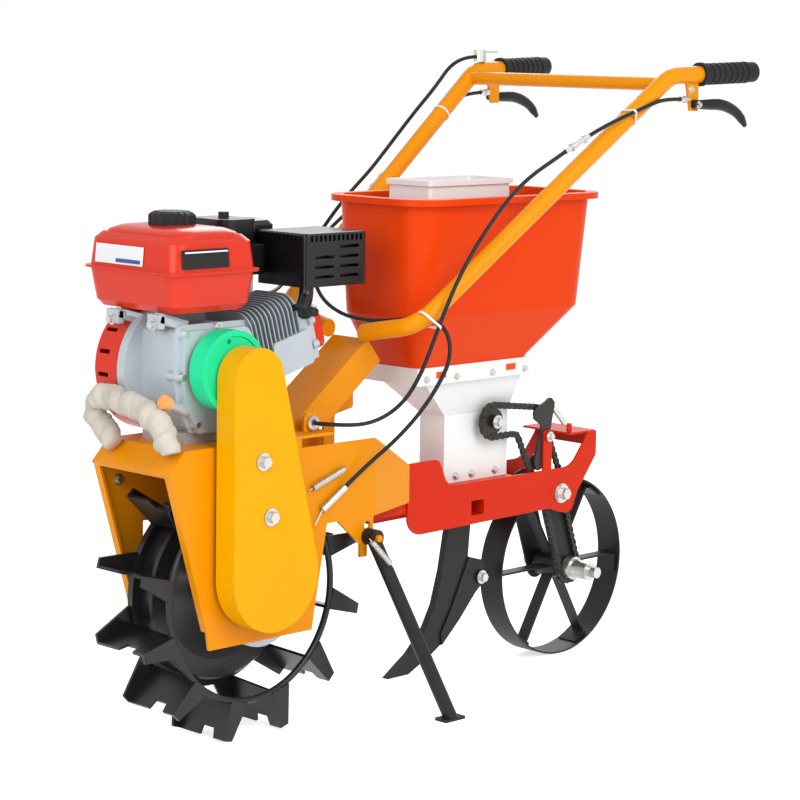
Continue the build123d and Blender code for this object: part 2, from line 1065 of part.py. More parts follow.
throttle_shares = (
    (0.071, 0, 0),
    (0.138, -0.07, 0.153),
    (0.203, -0.036, 0.242),
    (0.268, 0.013, 0.332),
    (0.332, 0.059, 0.424),
    (0.396, 0.104, 0.515),
    (0.464, 0.143, 0.598),
    (0.529, 0.182, 0.686),
    (0.591, 0.224, 0.785),
    (0.652, 0.271, 0.881),
    (0.717, 0.349, 0.966),
    (0.786, 0.516, 1.008),
    (0.852, 0.737, 1.006),
    (0.921, 1, 1),
)


def cable(name, start, end, shares):
    # straight runs joined by arcs that touch them
    reach = [last - first for first, last in zip(start, end)]
    points = [Vector(*start)]
    for share in shares:
        points.append(Vector(*[first + r * part for first, r, part in zip(start, reach, share)]))
    points.append(Vector(*end))
    edges, at, radii = [], points[0], []
    for before, corner, after in zip(points, points[1:], points[2:]):
        back, ahead = before - corner, after - corner
        bend = min(back.length, ahead.length) * cable_bend_share
        half = math.radians(back.get_angle(ahead)) / 2
        middle = (back.normalized() + ahead.normalized()).normalized()
        radius = bend * math.tan(half)
        radii.append(radius)
        first = corner + back.normalized() * bend
        last = corner + ahead.normalized() * bend
        mid = corner + middle * (bend / math.cos(half) - radius)
        edges += [Line(at, first), ThreePointArc(first, mid, last)]
        at = last
    edges.append(Line(at, points[-1]))
    path = Wire(edges)
    section = Plane(origin=points[0], z_dir=points[1] - points[0]) * Circle(cable_radius)
    piece = sweep(section, path=path)
    ratio = piece.volume / (math.pi * cable_radius**2 * path.length)
    print(name, "length", round(path.length), "least radius", round(min(radii)), round(ratio, 3))
    return piece


def cable_stop(side):
    middle = handle_half_width + (grip_half_width - handle_half_width) / 3
    return (lever_pivot_x + lever_bracket_width + seat_gap, side * middle, cable_start_z)


def make_clutch_cable():
    # from the near lever along the near tube into the bush beside the beam
    end_y = bush_near_y + bush_bore + seat_gap
    return cable("clutch cable", cable_stop(1), (bush_x, end_y, bush_z), clutch_shares)


def make_brake_cable():
    # from the far lever along the far tube, across behind the beam to the adjuster
    end = (adjuster_x, adjuster_y, adjuster_z)
    return cable("brake cable", cable_stop(-1), end, brake_shares)


def make_throttle_cable():
    # from the throttle on the far bar to the carburettor
    x = handle_bend_x + throttle_back_x + throttle_body_radius + seat_gap
    rise = handle_tube_radius + throttle_cable_rise
    start = (x, -handle_half_width, handle_height + rise)
    end_x = air_rear_x + carburettor_length / 2 - seat_gap
    end_y = -cylinder_width / 2 - carburettor_width / 2
    end = (end_x, end_y, air_bottom_z - carburettor_cable_drop)
    return cable("throttle cable", start, end, throttle_shares)


def make_adjuster():
    # threaded barrel at the brake cable's end, with its bare wire and its clip on the plate
    start = Vector(adjuster_x, adjuster_y, adjuster_z)
    run = Vector(adjuster_reach, -adjuster_wire, -adjuster_drop)
    end = start + run
    barrel = rod(tuple(start + run * seat_gap / run.length), tuple(end), adjuster_radius)
    tail = end + Vector(adjuster_wire_reach, 0, -adjuster_wire_drop)
    wire = rod(tuple(end), tuple(tail), cable_wire)
    middle = start + run / 2
    clip = rod(
        tuple(middle), (middle.X, side_plate_half_gap + seat_gap, middle.Z), adjuster_radius / 2
    )
    return barrel + wire + clip


def make_clutch_spring():
    # coil along the side plate with its ends hooked to it
    y = side_plate_half_gap + seat_gap + clutch_spring_radius
    start = (clutch_spring_front_x, y, clutch_spring_front_z)
    end = (clutch_spring_rear_x, y, clutch_spring_rear_z)
    coil = spring_between(start, end, clutch_spring_radius, clutch_spring_wire)
    for x, _, z in (start, end):
        coil += rod((x, side_plate_half_gap + seat_gap, z), (x, y, z), clutch_spring_wire)
    return coil


# Engine


def case_corners(inset):
    # crankcase outline seen from the near side, drawn in by the inset
    low = bed_top + case_foot_height
    rear = case_rear_x + inset
    top = case_top_z - inset
    return [
        (rear, low, 0),
        (case_chin_x - inset, low, 0),
        (case_front_x - inset, bed_top + case_chin_rise, case_corner),
        (case_front_x - inset, top, case_corner),
        (rear + 2 * case_corner, top, case_corner),
        (rear, top - 3 * case_corner, case_corner),
    ]


def under_tank():
    far = 2 * wheel_base
    return block((-far, far), (-far, far), (bed_top, tank_bottom_z - tank_flange_plate))


def make_crankcase():
    # bell towards the fan, the main casting drawn in behind the cover, and its feet
    body = rounded_cut(case_corners(case_wall), -case_half_width, case_half_width - cover_depth)
    bell = cross_rod(crank_x, crank_z, bell_radius, -case_half_width, bell_depth - case_half_width)
    foot = block(
        (case_rear_x - case_foot_reach, case_chin_x + case_foot_reach),
        (-case_half_width, case_half_width - cover_depth),
        (bed_top, bed_top + case_foot_height),
    )
    return body + (bell & under_tank()) + foot


def make_crank_cover():
    low = case_half_width - cover_depth
    cover = rounded_cut(case_corners(0), low, low + cover_flange)
    cover += rounded_cut(case_corners(cover_step), low, case_half_width)
    cover += cross_rod(
        crank_x, crank_z, cover_boss_radius, low, case_half_width + cover_boss_depth
    )
    middle_z = (case_top_z + bed_top) / 2
    for x, z in (
        (case_front_x - case_corner, case_top_z - case_corner),
        (case_front_x - case_corner / 2, middle_z + case_corner),
        (case_chin_x - case_corner / 2, bed_top + case_foot_height + case_corner),
        (crank_x, case_top_z - case_corner / 2),
        (case_rear_x + case_corner, middle_z),
    ):
        cover += cross_rod(x, z, cover_bolt_radius, low, low + 2 * cover_flange)
    y = (low + case_half_width) / 2
    foot = (dipstick_x, y, bed_top + dipstick_rise)
    neck = rod(foot, dipstick_end(0), dipstick_radius)
    return cover + neck


def dipstick_end(along):
    # point on the filler neck's line, counted on from its mouth
    run = Vector(dipstick_reach, 0, dipstick_lift)
    foot = Vector(dipstick_x, case_half_width - cover_depth / 2, bed_top + dipstick_rise)
    return tuple(foot + run + run.normalized() * along)


def make_oil_plug():
    return rod(dipstick_end(0), dipstick_end(dipstick_cap_radius), dipstick_cap_radius)


def cylinder_frame():
    # runs from the crank axis up and back along the cylinder; its own Y points down
    run = Vector(math.cos(math.radians(cylinder_angle)), 0, math.sin(math.radians(cylinder_angle)))
    return Plane(origin=(crank_x, 0, crank_z), x_dir=(0, 1, 0), z_dir=run)


def cylinder_box(across, down, along):
    # box in the cylinder's own frame, each side from its low to its high value
    size = [pair[1] - pair[0] for pair in (across, down, along)]
    return Pos(*[sum(pair) / 2 for pair in (across, down, along)]) * Box(*size)


def make_cylinder():
    start = cylinder_start
    half = fin_core / 2
    piece = cylinder_box((-half, half), (-half, half), (start, start + cylinder_length))
    fin = Pos(cylinder_side_y, (fin_below - fin_above) / 2) * RectangleRounded(
        cylinder_width, fin_above + fin_below, fin_corner
    )
    plate = extrude(fin, amount=fin_thickness)
    pitch = (cylinder_length - fin_thickness) / (fin_count - 1)
    piece += [Pos(0, 0, start + pitch * k) * plate for k in range(fin_count)]
    piece = cylinder_frame() * piece - make_cylinder_head() - make_crankcase()
    return largest(piece - make_crank_cover())


def make_cylinder_head():
    start = cylinder_start + cylinder_length
    half = head_width / 2
    end = start + head_length
    head = cylinder_box(
        (cylinder_side_y - half, cylinder_side_y + half), (-head_above, head_below), (start, end)
    )
    chamber = cylinder_box(
        (head_box_inner_y, head_box_outer_y),
        (-head_box_above, head_box_below),
        (head_box_start, head_box_end),
    )
    chamber = fillet(chamber.edges().filter_by(Axis.X), head_box_corner)
    for down in (-head_above / 2, head_below / 2):
        bolt = Pos(cylinder_side_y + half, down, end - head_bolt_depth / 2) * Cylinder(
            head_bolt_radius, head_bolt_depth
        )
        head += bolt
    return cylinder_frame() * (head + chamber)


def make_valve_cover():
    start = cylinder_start + cylinder_length + head_length
    half = head_width / 2 - head_bolt_radius
    cover = cylinder_box(
        (cylinder_side_y - half, cylinder_side_y + half),
        (head_bolt_radius - head_above, head_below - head_bolt_radius),
        (start, start + valve_cover_length),
    )
    return cylinder_frame() * fillet(cover.edges().filter_by(Axis.Z), valve_cover_corner)


def make_recoil():
    # pressed fan housing with slots round its rim and the starter's cup
    low = -case_half_width - recoil_depth
    near = -case_half_width - seat_gap
    housing = cross_rod(crank_x, crank_z, recoil_radius, low, near)
    housing -= cross_rod(crank_x, crank_z, recoil_radius - recoil_wall, low + recoil_wall, near)
    slot = block(
        (recoil_radius - recoil_slot_width, recoil_radius + recoil_slot_width),
        (low + recoil_slot_width, low + recoil_slot_width + recoil_slot_height),
        (-recoil_slot_width / 2, recoil_slot_width / 2),
    )
    for k in range(recoil_slot_count):
        turn = 180 * k / (recoil_slot_count - 1) - 45
        housing -= spin(slot, turn).translate((crank_x, 0, crank_z))
    cup = cross_rod(crank_x, crank_z, recoil_cup_radius, low - recoil_cup_depth, low)
    cup -= cross_rod(
        crank_x, crank_z, recoil_cup_radius - recoil_wall, low + recoil_wall - recoil_cup_depth, low
    )
    return (housing + cup) & under_tank()


def tank_shell(shrink):
    inset = tank_flange + shrink
    levels = (
        (tank_bottom_z + shrink, inset + tank_taper),
        (tank_bottom_z + tank_shoulder, inset + tank_taper / 2),
        (tank_seam_z, inset),
        (tank_top_z - tank_shoulder, inset + tank_taper / 3),
        (tank_top_z - shrink, inset + tank_taper),
    )
    cuts = [
        Pos(tank_centre_x, tank_centre_y, z)
        * RectangleRounded(tank_length - 2 * side, tank_width - 2 * side, tank_corner)
        for z, side in levels
    ]
    shell = loft(cuts[:2], ruled=True)
    for k in range(1, len(cuts) - 1):
        shell += loft(cuts[k : k + 2], ruled=True)
    return shell


def make_tank():
    seam = Pos(tank_centre_x, tank_centre_y, tank_seam_z - tank_flange_plate / 2)
    seam *= RectangleRounded(tank_length, tank_width, tank_corner)
    tank = tank_shell(0) + extrude(seam, amount=tank_flange_plate)
    neck = rod(
        (tank_centre_x, tank_centre_y, tank_seam_z),
        (tank_centre_x, tank_centre_y, tank_top_z),
        tank_neck_radius,
    )
    return tank - tank_shell(tank_wall) - neck


def make_fuel_cap():
    low = tank_top_z
    cap = rod(
        (tank_centre_x, tank_centre_y, low),
        (tank_centre_x, tank_centre_y, low + cap_height),
        cap_radius,
    )
    for k in range(cap_flute_count):
        turn = 2 * math.pi * k / cap_flute_count
        x = tank_centre_x + cap_radius * math.cos(turn)
        y = tank_centre_y + cap_radius * math.sin(turn)
        cap -= rod((x, y, low), (x, y, low + cap_height), cap_flute_radius)
    return cap


def make_tank_brackets():
    # two cast arms from the crankcase's top up to the tank's front edge, each with its bolt
    half = tank_bracket_plate / 2
    pair = []
    for y in (tank_bracket_near_y, tank_bracket_far_y):
        shift = tank_bracket_shift if y < 0 else 0
        top = (tank_bracket_top_x, y, tank_bottom_z - half - seat_gap)
        foot = (tank_bracket_foot_x, y + shift, case_top_z)
        arm = bar_between(top, foot, tank_bracket_width, tank_bracket_plate)
        x = tank_bracket_top_x - tank_bracket_bolt
        low = tank_bottom_z - 2 * tank_bracket_plate
        arm += rod((x, y, low), (x, y, tank_bottom_z - half), tank_bracket_bolt)
        arm = (arm & under_tank_plate()) - make_crankcase() - make_crank_cover() - make_recoil()
        pair.append(largest(arm))
    return Part() + pair


def under_tank_plate():
    far = 2 * wheel_base
    return block((-far, far), (-far, far), (bed_top, tank_bottom_z - seat_gap))


def make_muffler():
    # pressed guard with slots round its upper edge and rows of slots, over the muffler's own can
    guard = block(
        (muffler_rear_x, muffler_front_x),
        (muffler_far_y, muffler_near_y),
        (muffler_bottom_z, muffler_top_z),
    )
    guard = fillet(guard.edges().filter_by(Axis.Z), muffler_corner)
    guard = fillet(guard.faces().sort_by(Axis.Z)[-1].edges(), muffler_corner / 2)
    wall = muffler_wall
    guard -= block(
        (muffler_rear_x + wall, muffler_front_x - wall),
        (muffler_far_y + wall, muffler_near_y - wall),
        (muffler_bottom_z + wall, muffler_top_z - wall),
    )
    guard -= muffler_slots()
    gap = muffler_core_gap
    can = block(
        (muffler_rear_x + gap, muffler_front_x - gap),
        (muffler_far_y + gap, muffler_near_y - gap),
        (muffler_bottom_z + wall, muffler_top_z - gap),
    )
    return guard + fillet(can.edges().filter_by(Axis.Z), muffler_corner)


def muffler_slots():
    near = (muffler_near_y - muffler_corner, muffler_near_y + muffler_corner)
    slots = []
    middle = (muffler_front_x + muffler_rear_x) / 2
    for column, rows in ((1, 3), (-1, 4)):
        x = middle + column * (slot_length + slot_margin) / 2
        for row in range(rows):
            z = muffler_bottom_z + slot_margin + slot_pitch * row
            slots.append(
                block((x - slot_length / 2, x + slot_length / 2), near, (z, z + slot_height))
            )
    top = (muffler_top_z - slot_margin, muffler_top_z - slot_margin + 2 * slot_height)
    x = muffler_rear_x + slot_margin
    while x < muffler_front_x - slot_margin:
        slots.append(block((x, x + slot_height), near, top))
        x += 2 * slot_height
    y = muffler_far_y + slot_margin
    front = (muffler_front_x - muffler_corner, muffler_front_x + muffler_corner)
    while y < muffler_near_y - slot_margin:
        slots.append(block(front, (y, y + slot_height), top))
        y += 2 * slot_height
    return slots


def make_elbow():
    # pipe with an oval flange, from the cylinder head's port up into the muffler's floor
    x = muffler_front_x - elbow_back_x
    y = muffler_near_y - elbow_in_y
    low = bed_top + elbow_low_rise
    pipe = rod((x, y, low), (x, y, muffler_bottom_z), elbow_radius)
    oval = Pos(x, y, low) * SlotCenterToCenter(2 * elbow_flange_reach, 2 * elbow_flange_radius)
    flange = extrude(oval, amount=2 * elbow_flange)
    return largest(pipe + flange - make_cylinder_head() - make_cylinder() - make_valve_cover())


def make_carburettor():
    # from the cylinder head's far side up to the air cleaner's floor
    x = air_rear_x + carburettor_length / 2
    body = block(
        (x, x + carburettor_length),
        (-cylinder_width / 2 - carburettor_width, -carburettor_root),
        (crank_z + head_below, air_bottom_z),
    )
    return body - make_cylinder_head() - make_cylinder()


def make_air_cleaner():
    # box below, narrower dome above with the wing nut's post
    def shell(shrink):
        body = block(
            (air_rear_x + shrink, air_front_x - shrink),
            (air_far_y + shrink, air_near_y - shrink),
            (air_bottom_z + shrink, air_step_z - shrink),
        )
        inset = air_dome_inset + shrink
        dome = block(
            (air_rear_x + inset, air_front_x - inset),
            (air_far_y + inset, air_near_y - inset),
            (air_bottom_z + inset, air_top_z - shrink),
        )
        return fillet(body.edges().filter_by(Axis.Z), air_corner - shrink) + fillet(
            dome.edges().filter_by(Axis.Z), air_corner - shrink
        )

    x = (air_front_x + air_rear_x) / 2
    y = (air_near_y + air_far_y) / 2
    post = rod((x, y, air_top_z - air_wall), (x, y, air_top_z + wing_nut_height), wing_nut_radius)
    mouth_x = air_rear_x + carburettor_length
    mouth_y = -cylinder_width / 2 - carburettor_width / 2
    mouth = rod(
        (mouth_x, mouth_y, air_bottom_z - air_wall),
        (mouth_x, mouth_y, air_bottom_z + 2 * air_wall),
        carburettor_width / 3,
    )
    return shell(0) - shell(air_wall) + post - mouth


# Chain case and pulley


def make_chain_case():
    near = side_plate_half_gap + chain_case_gap
    face_y = near + chain_case_depth

    def shell(shrink, low, high):
        discs = [
            Pos(chain_case_top_x, chain_case_top_z) * Circle(chain_case_top_radius - shrink),
            Pos(chain_case_bottom_x, chain_case_bottom_z)
            * Circle(chain_case_bottom_radius - shrink),
        ]
        hull = make_hull([edge for disc in discs for edge in disc.edges()])
        plane = Plane((0, high, 0), x_dir=(1, 0, 0), z_dir=(0, -1, 0))
        return extrude(plane * hull, amount=high - low, dir=(0, -1, 0))

    cover = shell(0, near, face_y) - shell(chain_case_wall, near, face_y - chain_case_wall)
    for x, drop in ((upper_bolt_x, upper_bolt_drop), (lower_bolt_x, lower_bolt_drop)):
        z = bed_top - drop
        straight = (case_slot_length - case_slot_height) / 2
        cover -= block(
            (x - straight, x + straight),
            (near, 2 * face_y),
            (z - case_slot_height / 2, z + case_slot_height / 2),
        )
        cover += cross_rod(x, z, case_bolt_radius, side_plate_half_gap + seat_gap, face_y)
        cover += cross_rod(x, z, case_washer_radius, face_y, face_y + case_washer)
        cover += cross_rod(x, z, case_nut_radius, face_y, face_y + case_washer + case_nut)
    return cover


def make_pulley():
    low = case_half_width + cover_boss_depth + axle_gap
    high = low + pulley_width
    pulley = cross_rod(pulley_x, pulley_z, pulley_radius, low, high)
    pulley -= cross_rod(pulley_x, pulley_z, pulley_radius - pulley_rim, high - pulley_step, high)
    hole_z = pulley_z + pulley_radius - 2 * pulley_rim
    return pulley - cross_rod(
        pulley_x + pulley_rim, hole_z, pulley_hole, high - 2 * pulley_rim, high
    )


# Hopper


def hopper_section(front, rear, half_width, z, shrink, corner):
    length = front - rear - 2 * shrink
    return Pos((front + rear) / 2, 0, z) * RectangleRounded(
        length, 2 * (half_width - shrink), corner - shrink
    )


def hopper_solid(shrink):
    rim_front = hopper_front_x - hopper_rim_overhang
    rim_rear = hopper_front_x - hopper_length + hopper_rim_overhang
    rim_half = hopper_half_width - hopper_rim_overhang
    top = hopper_section(rim_front, rim_rear, rim_half, hopper_rim_z, shrink, hopper_corner)
    waist = hopper_section(
        hopper_waist_front_x,
        hopper_waist_rear_x,
        hopper_waist_half_width,
        hopper_waist_z,
        shrink,
        hopper_corner,
    )
    foot = hopper_section(
        hopper_foot_front_x,
        hopper_foot_rear_x,
        hopper_foot_half_width,
        tray_top_z,
        shrink,
        hopper_corner / 2,
    )
    return loft([top, waist], ruled=True) + loft([waist, foot], ruled=True)


def make_hopper():
    body = hopper_solid(0)
    rim = hopper_section(
        hopper_front_x,
        hopper_front_x - hopper_length,
        hopper_half_width,
        hopper_rim_z - hopper_rim_height,
        0,
        hopper_corner + hopper_rim_overhang,
    )
    body += extrude(rim, amount=hopper_rim_height)
    return body - hopper_solid(hopper_wall)


def make_insert():
    def shell(shrink):
        sections = [
            Pos(insert_centre_x, 0, z) * Rectangle(length - 2 * shrink, width - 2 * shrink)
            for length, width, z in (
                (insert_foot_length, insert_foot_width, tray_top_z),
                (insert_length, insert_width, insert_top_z),
            )
        ]
        return loft(sections, ruled=True)
    lip = Pos(insert_centre_x, 0, insert_top_z - insert_lip / 2) * Box(
        insert_length + insert_lip, insert_width + insert_lip, insert_lip
    )
    return shell(0) + lip - shell(insert_wall)


def make_tray():
    rear = tray_front_x - tray_length
    low = tray_top_z - tray_height
    tray = block((rear, tray_front_x), (-tray_half_width, tray_half_width), (low, tray_top_z))
    tray -= block(
        (rear + tray_wall, tray_front_x - tray_wall),
        (tray_wall - tray_half_width, tray_half_width - tray_wall),
        (low, tray_top_z - tray_wall),
    )
    half_length = (insert_foot_length - insert_lip) / 2
    tray -= block(
        (insert_centre_x - half_length, insert_centre_x + half_length),
        (insert_lip - insert_foot_width / 2, insert_foot_width / 2 - insert_lip),
        (low, tray_top_z),
    )
    for side in (-1, 1):
        for k in (-1, 1):
            x = tray_front_x - tray_length / 2 + k * tray_tag_pitch / 2
            face = side * (tray_half_width + tray_tag / 2)
            tray += Pos(x, face, tray_top_z - tray_height / 2) * Box(
                tray_tag_length, tray_tag, tray_tag_height
            )
    return tray


def make_metering_box():
    top = tray_top_z - tray_height

    def shell(shrink, lift):
        def level(front, length, half_width, z):
            return Pos(front - length / 2, 0, z) * Rectangle(
                length - 2 * shrink, 2 * (half_width - shrink)
            )

        throat = level(meter_throat_front_x, meter_throat_length, meter_throat_half_width, top)
        neck = level(meter_front_x, meter_length, meter_half_width, meter_flare_z)
        floor = level(meter_front_x, meter_length, meter_half_width, meter_bottom_z + lift)
        return loft([neck, throat], ruled=True) + loft([floor, neck], ruled=True)

    flange = block(
        (tray_front_x - tray_length, tray_front_x),
        (-tray_half_width, tray_half_width),
        (top - meter_wall, top),
    )
    return shell(0, 0) + flange - shell(meter_wall, meter_wall)


def make_metering_drive():
    end = meter_half_width + meter_shaft_reach
    shaft = cross_rod(meter_shaft_x, meter_shaft_z, meter_shaft_radius, meter_half_width, end)
    nut = cross_rod(
        meter_shaft_x,
        meter_shaft_z,
        meter_nut_radius,
        meter_lane_y + chain_width / 4,
        meter_lane_y + chain_width / 4 + meter_nut,
    )
    return shaft + nut + sprocket(meter_shaft_x, meter_shaft_z, meter_sprocket_teeth, meter_lane_y)


def sprocket_radius(teeth):
    return chain_pitch / (2 * math.sin(math.pi / teeth))


def sprocket(x, z, teeth, lane):
    # plain disc that carries a chain loop on its rim
    half = chain_width / 4
    radius = sprocket_radius(teeth) - chain_plate_height / 2 - seat_gap
    return cross_rod(x, z, radius, lane - half, lane + half)


# Tensioner arm outline: shares of the distance between its two rollers, from the lower one
tension_shares = (
    (-0.49, 1.2, 0.06),
    (-0.36, 1.34, 0.1),
    (-0.22, 1.26, 0.06),
    (0.14, 1.1, 0.08),
    (0.14, 0.9, 0.08),
    (-0.1, 0.76, 0.1),
    (0.12, -0.02, 0.08),
    (0.02, -0.2, 0.08),
    (-0.2, -0.12, 0.08),
)


def make_tensioner():
    # flat arm that carries two idlers, bolted to the tab of the near chassis plate
    outer = chassis_half_gap - chassis_plate - seat_gap
    corners = [
        (tension_x + tension_rise * a, tension_low_z + tension_rise * b, tension_rise * r)
        for a, b, r in tension_shares
    ]
    arm = rounded_cut(corners, outer - tension_plate, outer)
    inner = meter_lane_y - chain_width / 2
    arm += cross_rod(tension_x, tension_high_z, tension_pin_radius, inner, outer)
    arm += cross_rod(tension_x, tension_low_z, tension_pin_radius, inner, outer)
    low_wheel = sprocket(tension_x, tension_low_z, tension_sprocket_teeth, meter_lane_y)
    roller = cross_rod(
        tension_x,
        tension_high_z,
        tension_roller_radius - chain_plate_height / 2 - seat_gap,
        meter_lane_y - chain_width / 4,
        meter_lane_y + chain_width / 4,
    )
    return arm + low_wheel + roller


def spring_between(start, end, radius, wire):
    # closely wound coil as a plain tube, with a hook of its wire at each end
    first, last = Vector(*start), Vector(*end)
    run = (last - first).normalized()
    inner = radius * 2
    coil = rod(tuple(first + run * inner), tuple(last - run * inner), radius)
    return coil + rod(start, end, wire)


def tension_ends():
    # from the arm's top to a bolt on the rear cross plate
    y = chassis_half_gap - chassis_plate - tension_plate / 2
    top = (
        tension_x - tension_rise * 2 / 5,
        y - tension_plate,
        tension_high_z + tension_rise / 6,
    )
    hook_z = chassis_bottom_z + chassis_height + 2 * tension_spring_radius
    hook_x = tension_hook_x + tension_pin_radius + tension_spring_wire + seat_gap
    return top, (hook_x, tension_hook_y, hook_z)


def make_tensioner_spring():
    top, hook = tension_ends()
    return spring_between(top, hook, tension_spring_radius, tension_spring_wire)


# Red chassis plates: shares of the plate's length from its front and of its height, and of
# its height for the corner's radius
chassis_shares = (
    (0, 0.92, 0.05),
    (0.155, 0.92, 0.12),
    (0.2, 0.55, 0.2),
    (0.86, 0.55, 0.3),
    (0.93, 0.86, 0.1),
    (0.955, 1, 0.02),
    (1, 1, 0.04),
    (1, 0.66, 0.1),
    (0.9, 0.2, 0.1),
    (0.865, -0.1, 0.15),
    (0.79, -0.04, 0.12),
    (0.75, 0.02, 0.3),
    (0, -0.02, 0.24),
)


def make_chassis_plate():
    outer = chassis_half_gap
    corners = [
        (
            chassis_front_x - chassis_length * along,
            chassis_bottom_z + chassis_height * up,
            chassis_height * corner,
        )
        for along, up, corner in chassis_shares
    ]
    plate = rounded_cut(corners, outer - chassis_plate, outer)
    window = block(
        (window_x - window_length / 2, window_x + window_length / 2),
        (0, 2 * outer),
        (pivot_z - window_height / 2, pivot_z + window_height / 2),
    )
    bore = cross_rod(pivot_x, pivot_z, pivot_bolt_radius, 0, 2 * outer)
    return plate - window - bore


def make_tab():
    # upright ear on the near plate that the tensioner's arm is bolted to
    outer = chassis_half_gap
    half = tab_width / 2
    low = chassis_bottom_z + chassis_height / 3
    tab = rounded_cut(
        [
            (tab_x - half, low, 0),
            (tab_x + half, low, 0),
            (tab_x + half, tab_top_z, half / 2),
            (tab_x - half, tab_top_z, half / 2),
        ],
        outer - chassis_plate,
        outer,
    )
    bolt = cross_rod(
        tab_x, tab_top_z - half, tension_pin_radius, outer - chassis_plate, outer + chassis_plate
    )
    return tab + bolt


def make_chassis_cross():
    inner = chassis_half_gap - chassis_plate
    rear = chassis_front_x - chassis_length
    top = chassis_bottom_z + chassis_height
    back = block((rear, rear + chassis_height / 2), (-inner, inner), (top - chassis_cross, top))
    back += block((rear, rear + chassis_cross), (-inner, inner), (top - lip_height, top))
    floor = block(
        (meter_front_x - meter_length, meter_front_x),
        (-inner, inner),
        (meter_bottom_z - chassis_cross, meter_bottom_z),
    )
    hook = (tension_hook_x, tension_hook_y)
    back += rod((*hook, top - chassis_cross), (*hook, top + lip_height / 2), tension_pin_radius)
    link = block(
        (link_rear_x, link_front_x), (-inner, inner), (link_low_z, link_low_z + link_bar_height)
    )
    for x in (link_front_x - link_bar_height / 2, side_rear_x + link_bolt_radius * 2):
        bolt = cross_rod(
            x,
            link_low_z + link_bar_height * 2 / 3,
            link_bolt_radius,
            -side_plate_half_gap,
            side_plate_half_gap,
        )
        link += bolt
    between = level_cut(wing_inside(), 0, bed_top)
    link &= between
    return back, floor, link


def make_pivot_shaft():
    # one stub bolt on each side: the wheel turns between them; two sprockets on the near one
    reach = chassis_half_gap + pivot_bolt_radius
    bolt = cross_rod(pivot_x, pivot_z, pivot_bolt_radius, arm_near_y - arm_plate, reach)
    bolt += cross_rod(
        pivot_x, pivot_z, 2 * pivot_bolt_radius, chassis_half_gap, chassis_half_gap + chassis_plate
    )
    pair = bolt + far_side(bolt)
    for lane in (arm_lane_y, meter_lane_y):
        pair += sprocket(pivot_x, pivot_z, axle_sprocket_teeth, lane)
    return pair


# Ground wheel and its trailing arms


def make_ground_rim():
    half = ground_rim_width / 2
    centre = (-wheel_base, ground_wheel_radius)
    rim = cross_rod(*centre, ground_wheel_radius, -half, half)
    rim -= cross_rod(*centre, ground_wheel_radius - ground_rim_thickness, -half, half)
    reach = ground_wheel_radius - ground_rim_thickness / 2
    for k in range(ground_spoke_count):
        spoke = block(
            (ground_hub_radius - ground_spoke_thickness, reach),
            (-ground_spoke_width / 2, ground_spoke_width / 2),
            (-ground_spoke_thickness / 2, ground_spoke_thickness / 2),
        )
        outer = ground_wheel_radius - ground_rim_thickness - pad_sink
        spoke += block(
            (outer - ground_spoke_thickness, outer),
            (-pad_width / 2, pad_width / 2),
            (0, pad_length),
        )
        turned = spin(spoke, k * 360 / ground_spoke_count)
        rim += turned.translate((-wheel_base, 0, ground_wheel_radius))
    rim += cross_rod(*centre, ground_hub_radius, -half, half)
    return rim - cross_rod(*centre, ground_axle_radius + axle_gap, -half, half)


def make_ground_axle():
    # threaded axle with a collar and a long nut on the near side, a nut on the far side
    centre = (-wheel_base, ground_wheel_radius)
    axle = cross_rod(*centre, ground_axle_radius, axle_far_y, axle_near_y)
    collar_end = arm_lane_y + chain_width / 2 + axle_collar
    collar_start = arm_lane_y + chain_width / 2 + seat_gap
    axle += cross_rod(*centre, axle_collar_radius, collar_start, collar_end)
    axle += cross_rod(*centre, axle_nut_radius, collar_end, axle_nut_end_y)
    axle += cross_rod(
        *centre, axle_nut_radius, -arm_near_y - seat_gap - far_nut, -arm_near_y - seat_gap
    )
    return axle + sprocket(*centre, axle_sprocket_teeth, arm_lane_y)


def arm_outline(half, overrun):
    start, end = Vector(pivot_x, 0, pivot_z), Vector(-wheel_base, 0, ground_wheel_radius)
    run = (end - start).normalized()
    side = Vector(run.Z, 0, -run.X)
    corners = [
        start - run * overrun + side * half,
        start - run * overrun - side * half,
        end + run * overrun - side * half,
        end + run * overrun + side * half,
    ]
    return [(p.X, p.Z) for p in corners]


def make_arm():
    # flat arm beside the wheel, with bores for the pivot shaft and the wheel axle
    half = arm_width / 2
    arm = side_cut(arm_outline(half, half), arm_near_y - arm_plate, arm_near_y, half * 3 / 4)
    arm -= cross_rod(pivot_x, pivot_z, pivot_bolt_radius, 0, chassis_half_gap)
    hole_x = pivot_x - arm_hole_down * (wheel_base + pivot_x) / (pivot_z - ground_wheel_radius)
    arm -= cross_rod(hole_x, pivot_z - arm_hole_down, arm_hole_radius, 0, chassis_half_gap)
    return arm - cross_rod(
        -wheel_base, ground_wheel_radius, ground_axle_radius, 0, chassis_half_gap
    )


def belt_runs(wheels):
    # straight runs of a loop: start, end and direction; a wheel's turn is 1 inside, -1 outside
    runs = []
    for k, (x, z, radius, turn) in enumerate(wheels):
        far_x, far_z, far_radius, far_turn = wheels[(k + 1) % len(wheels)]
        near, far = radius * turn, far_radius * far_turn
        length = math.hypot(far_x - x, far_z - z)
        angle = math.atan2(far_z - z, far_x - x) + math.asin((near - far) / length)
        side = (math.sin(angle), -math.cos(angle))
        start = (x + near * side[0], z + near * side[1])
        end = (far_x + far * side[0], far_z + far * side[1])
        runs.append((start, end, angle))
    return runs


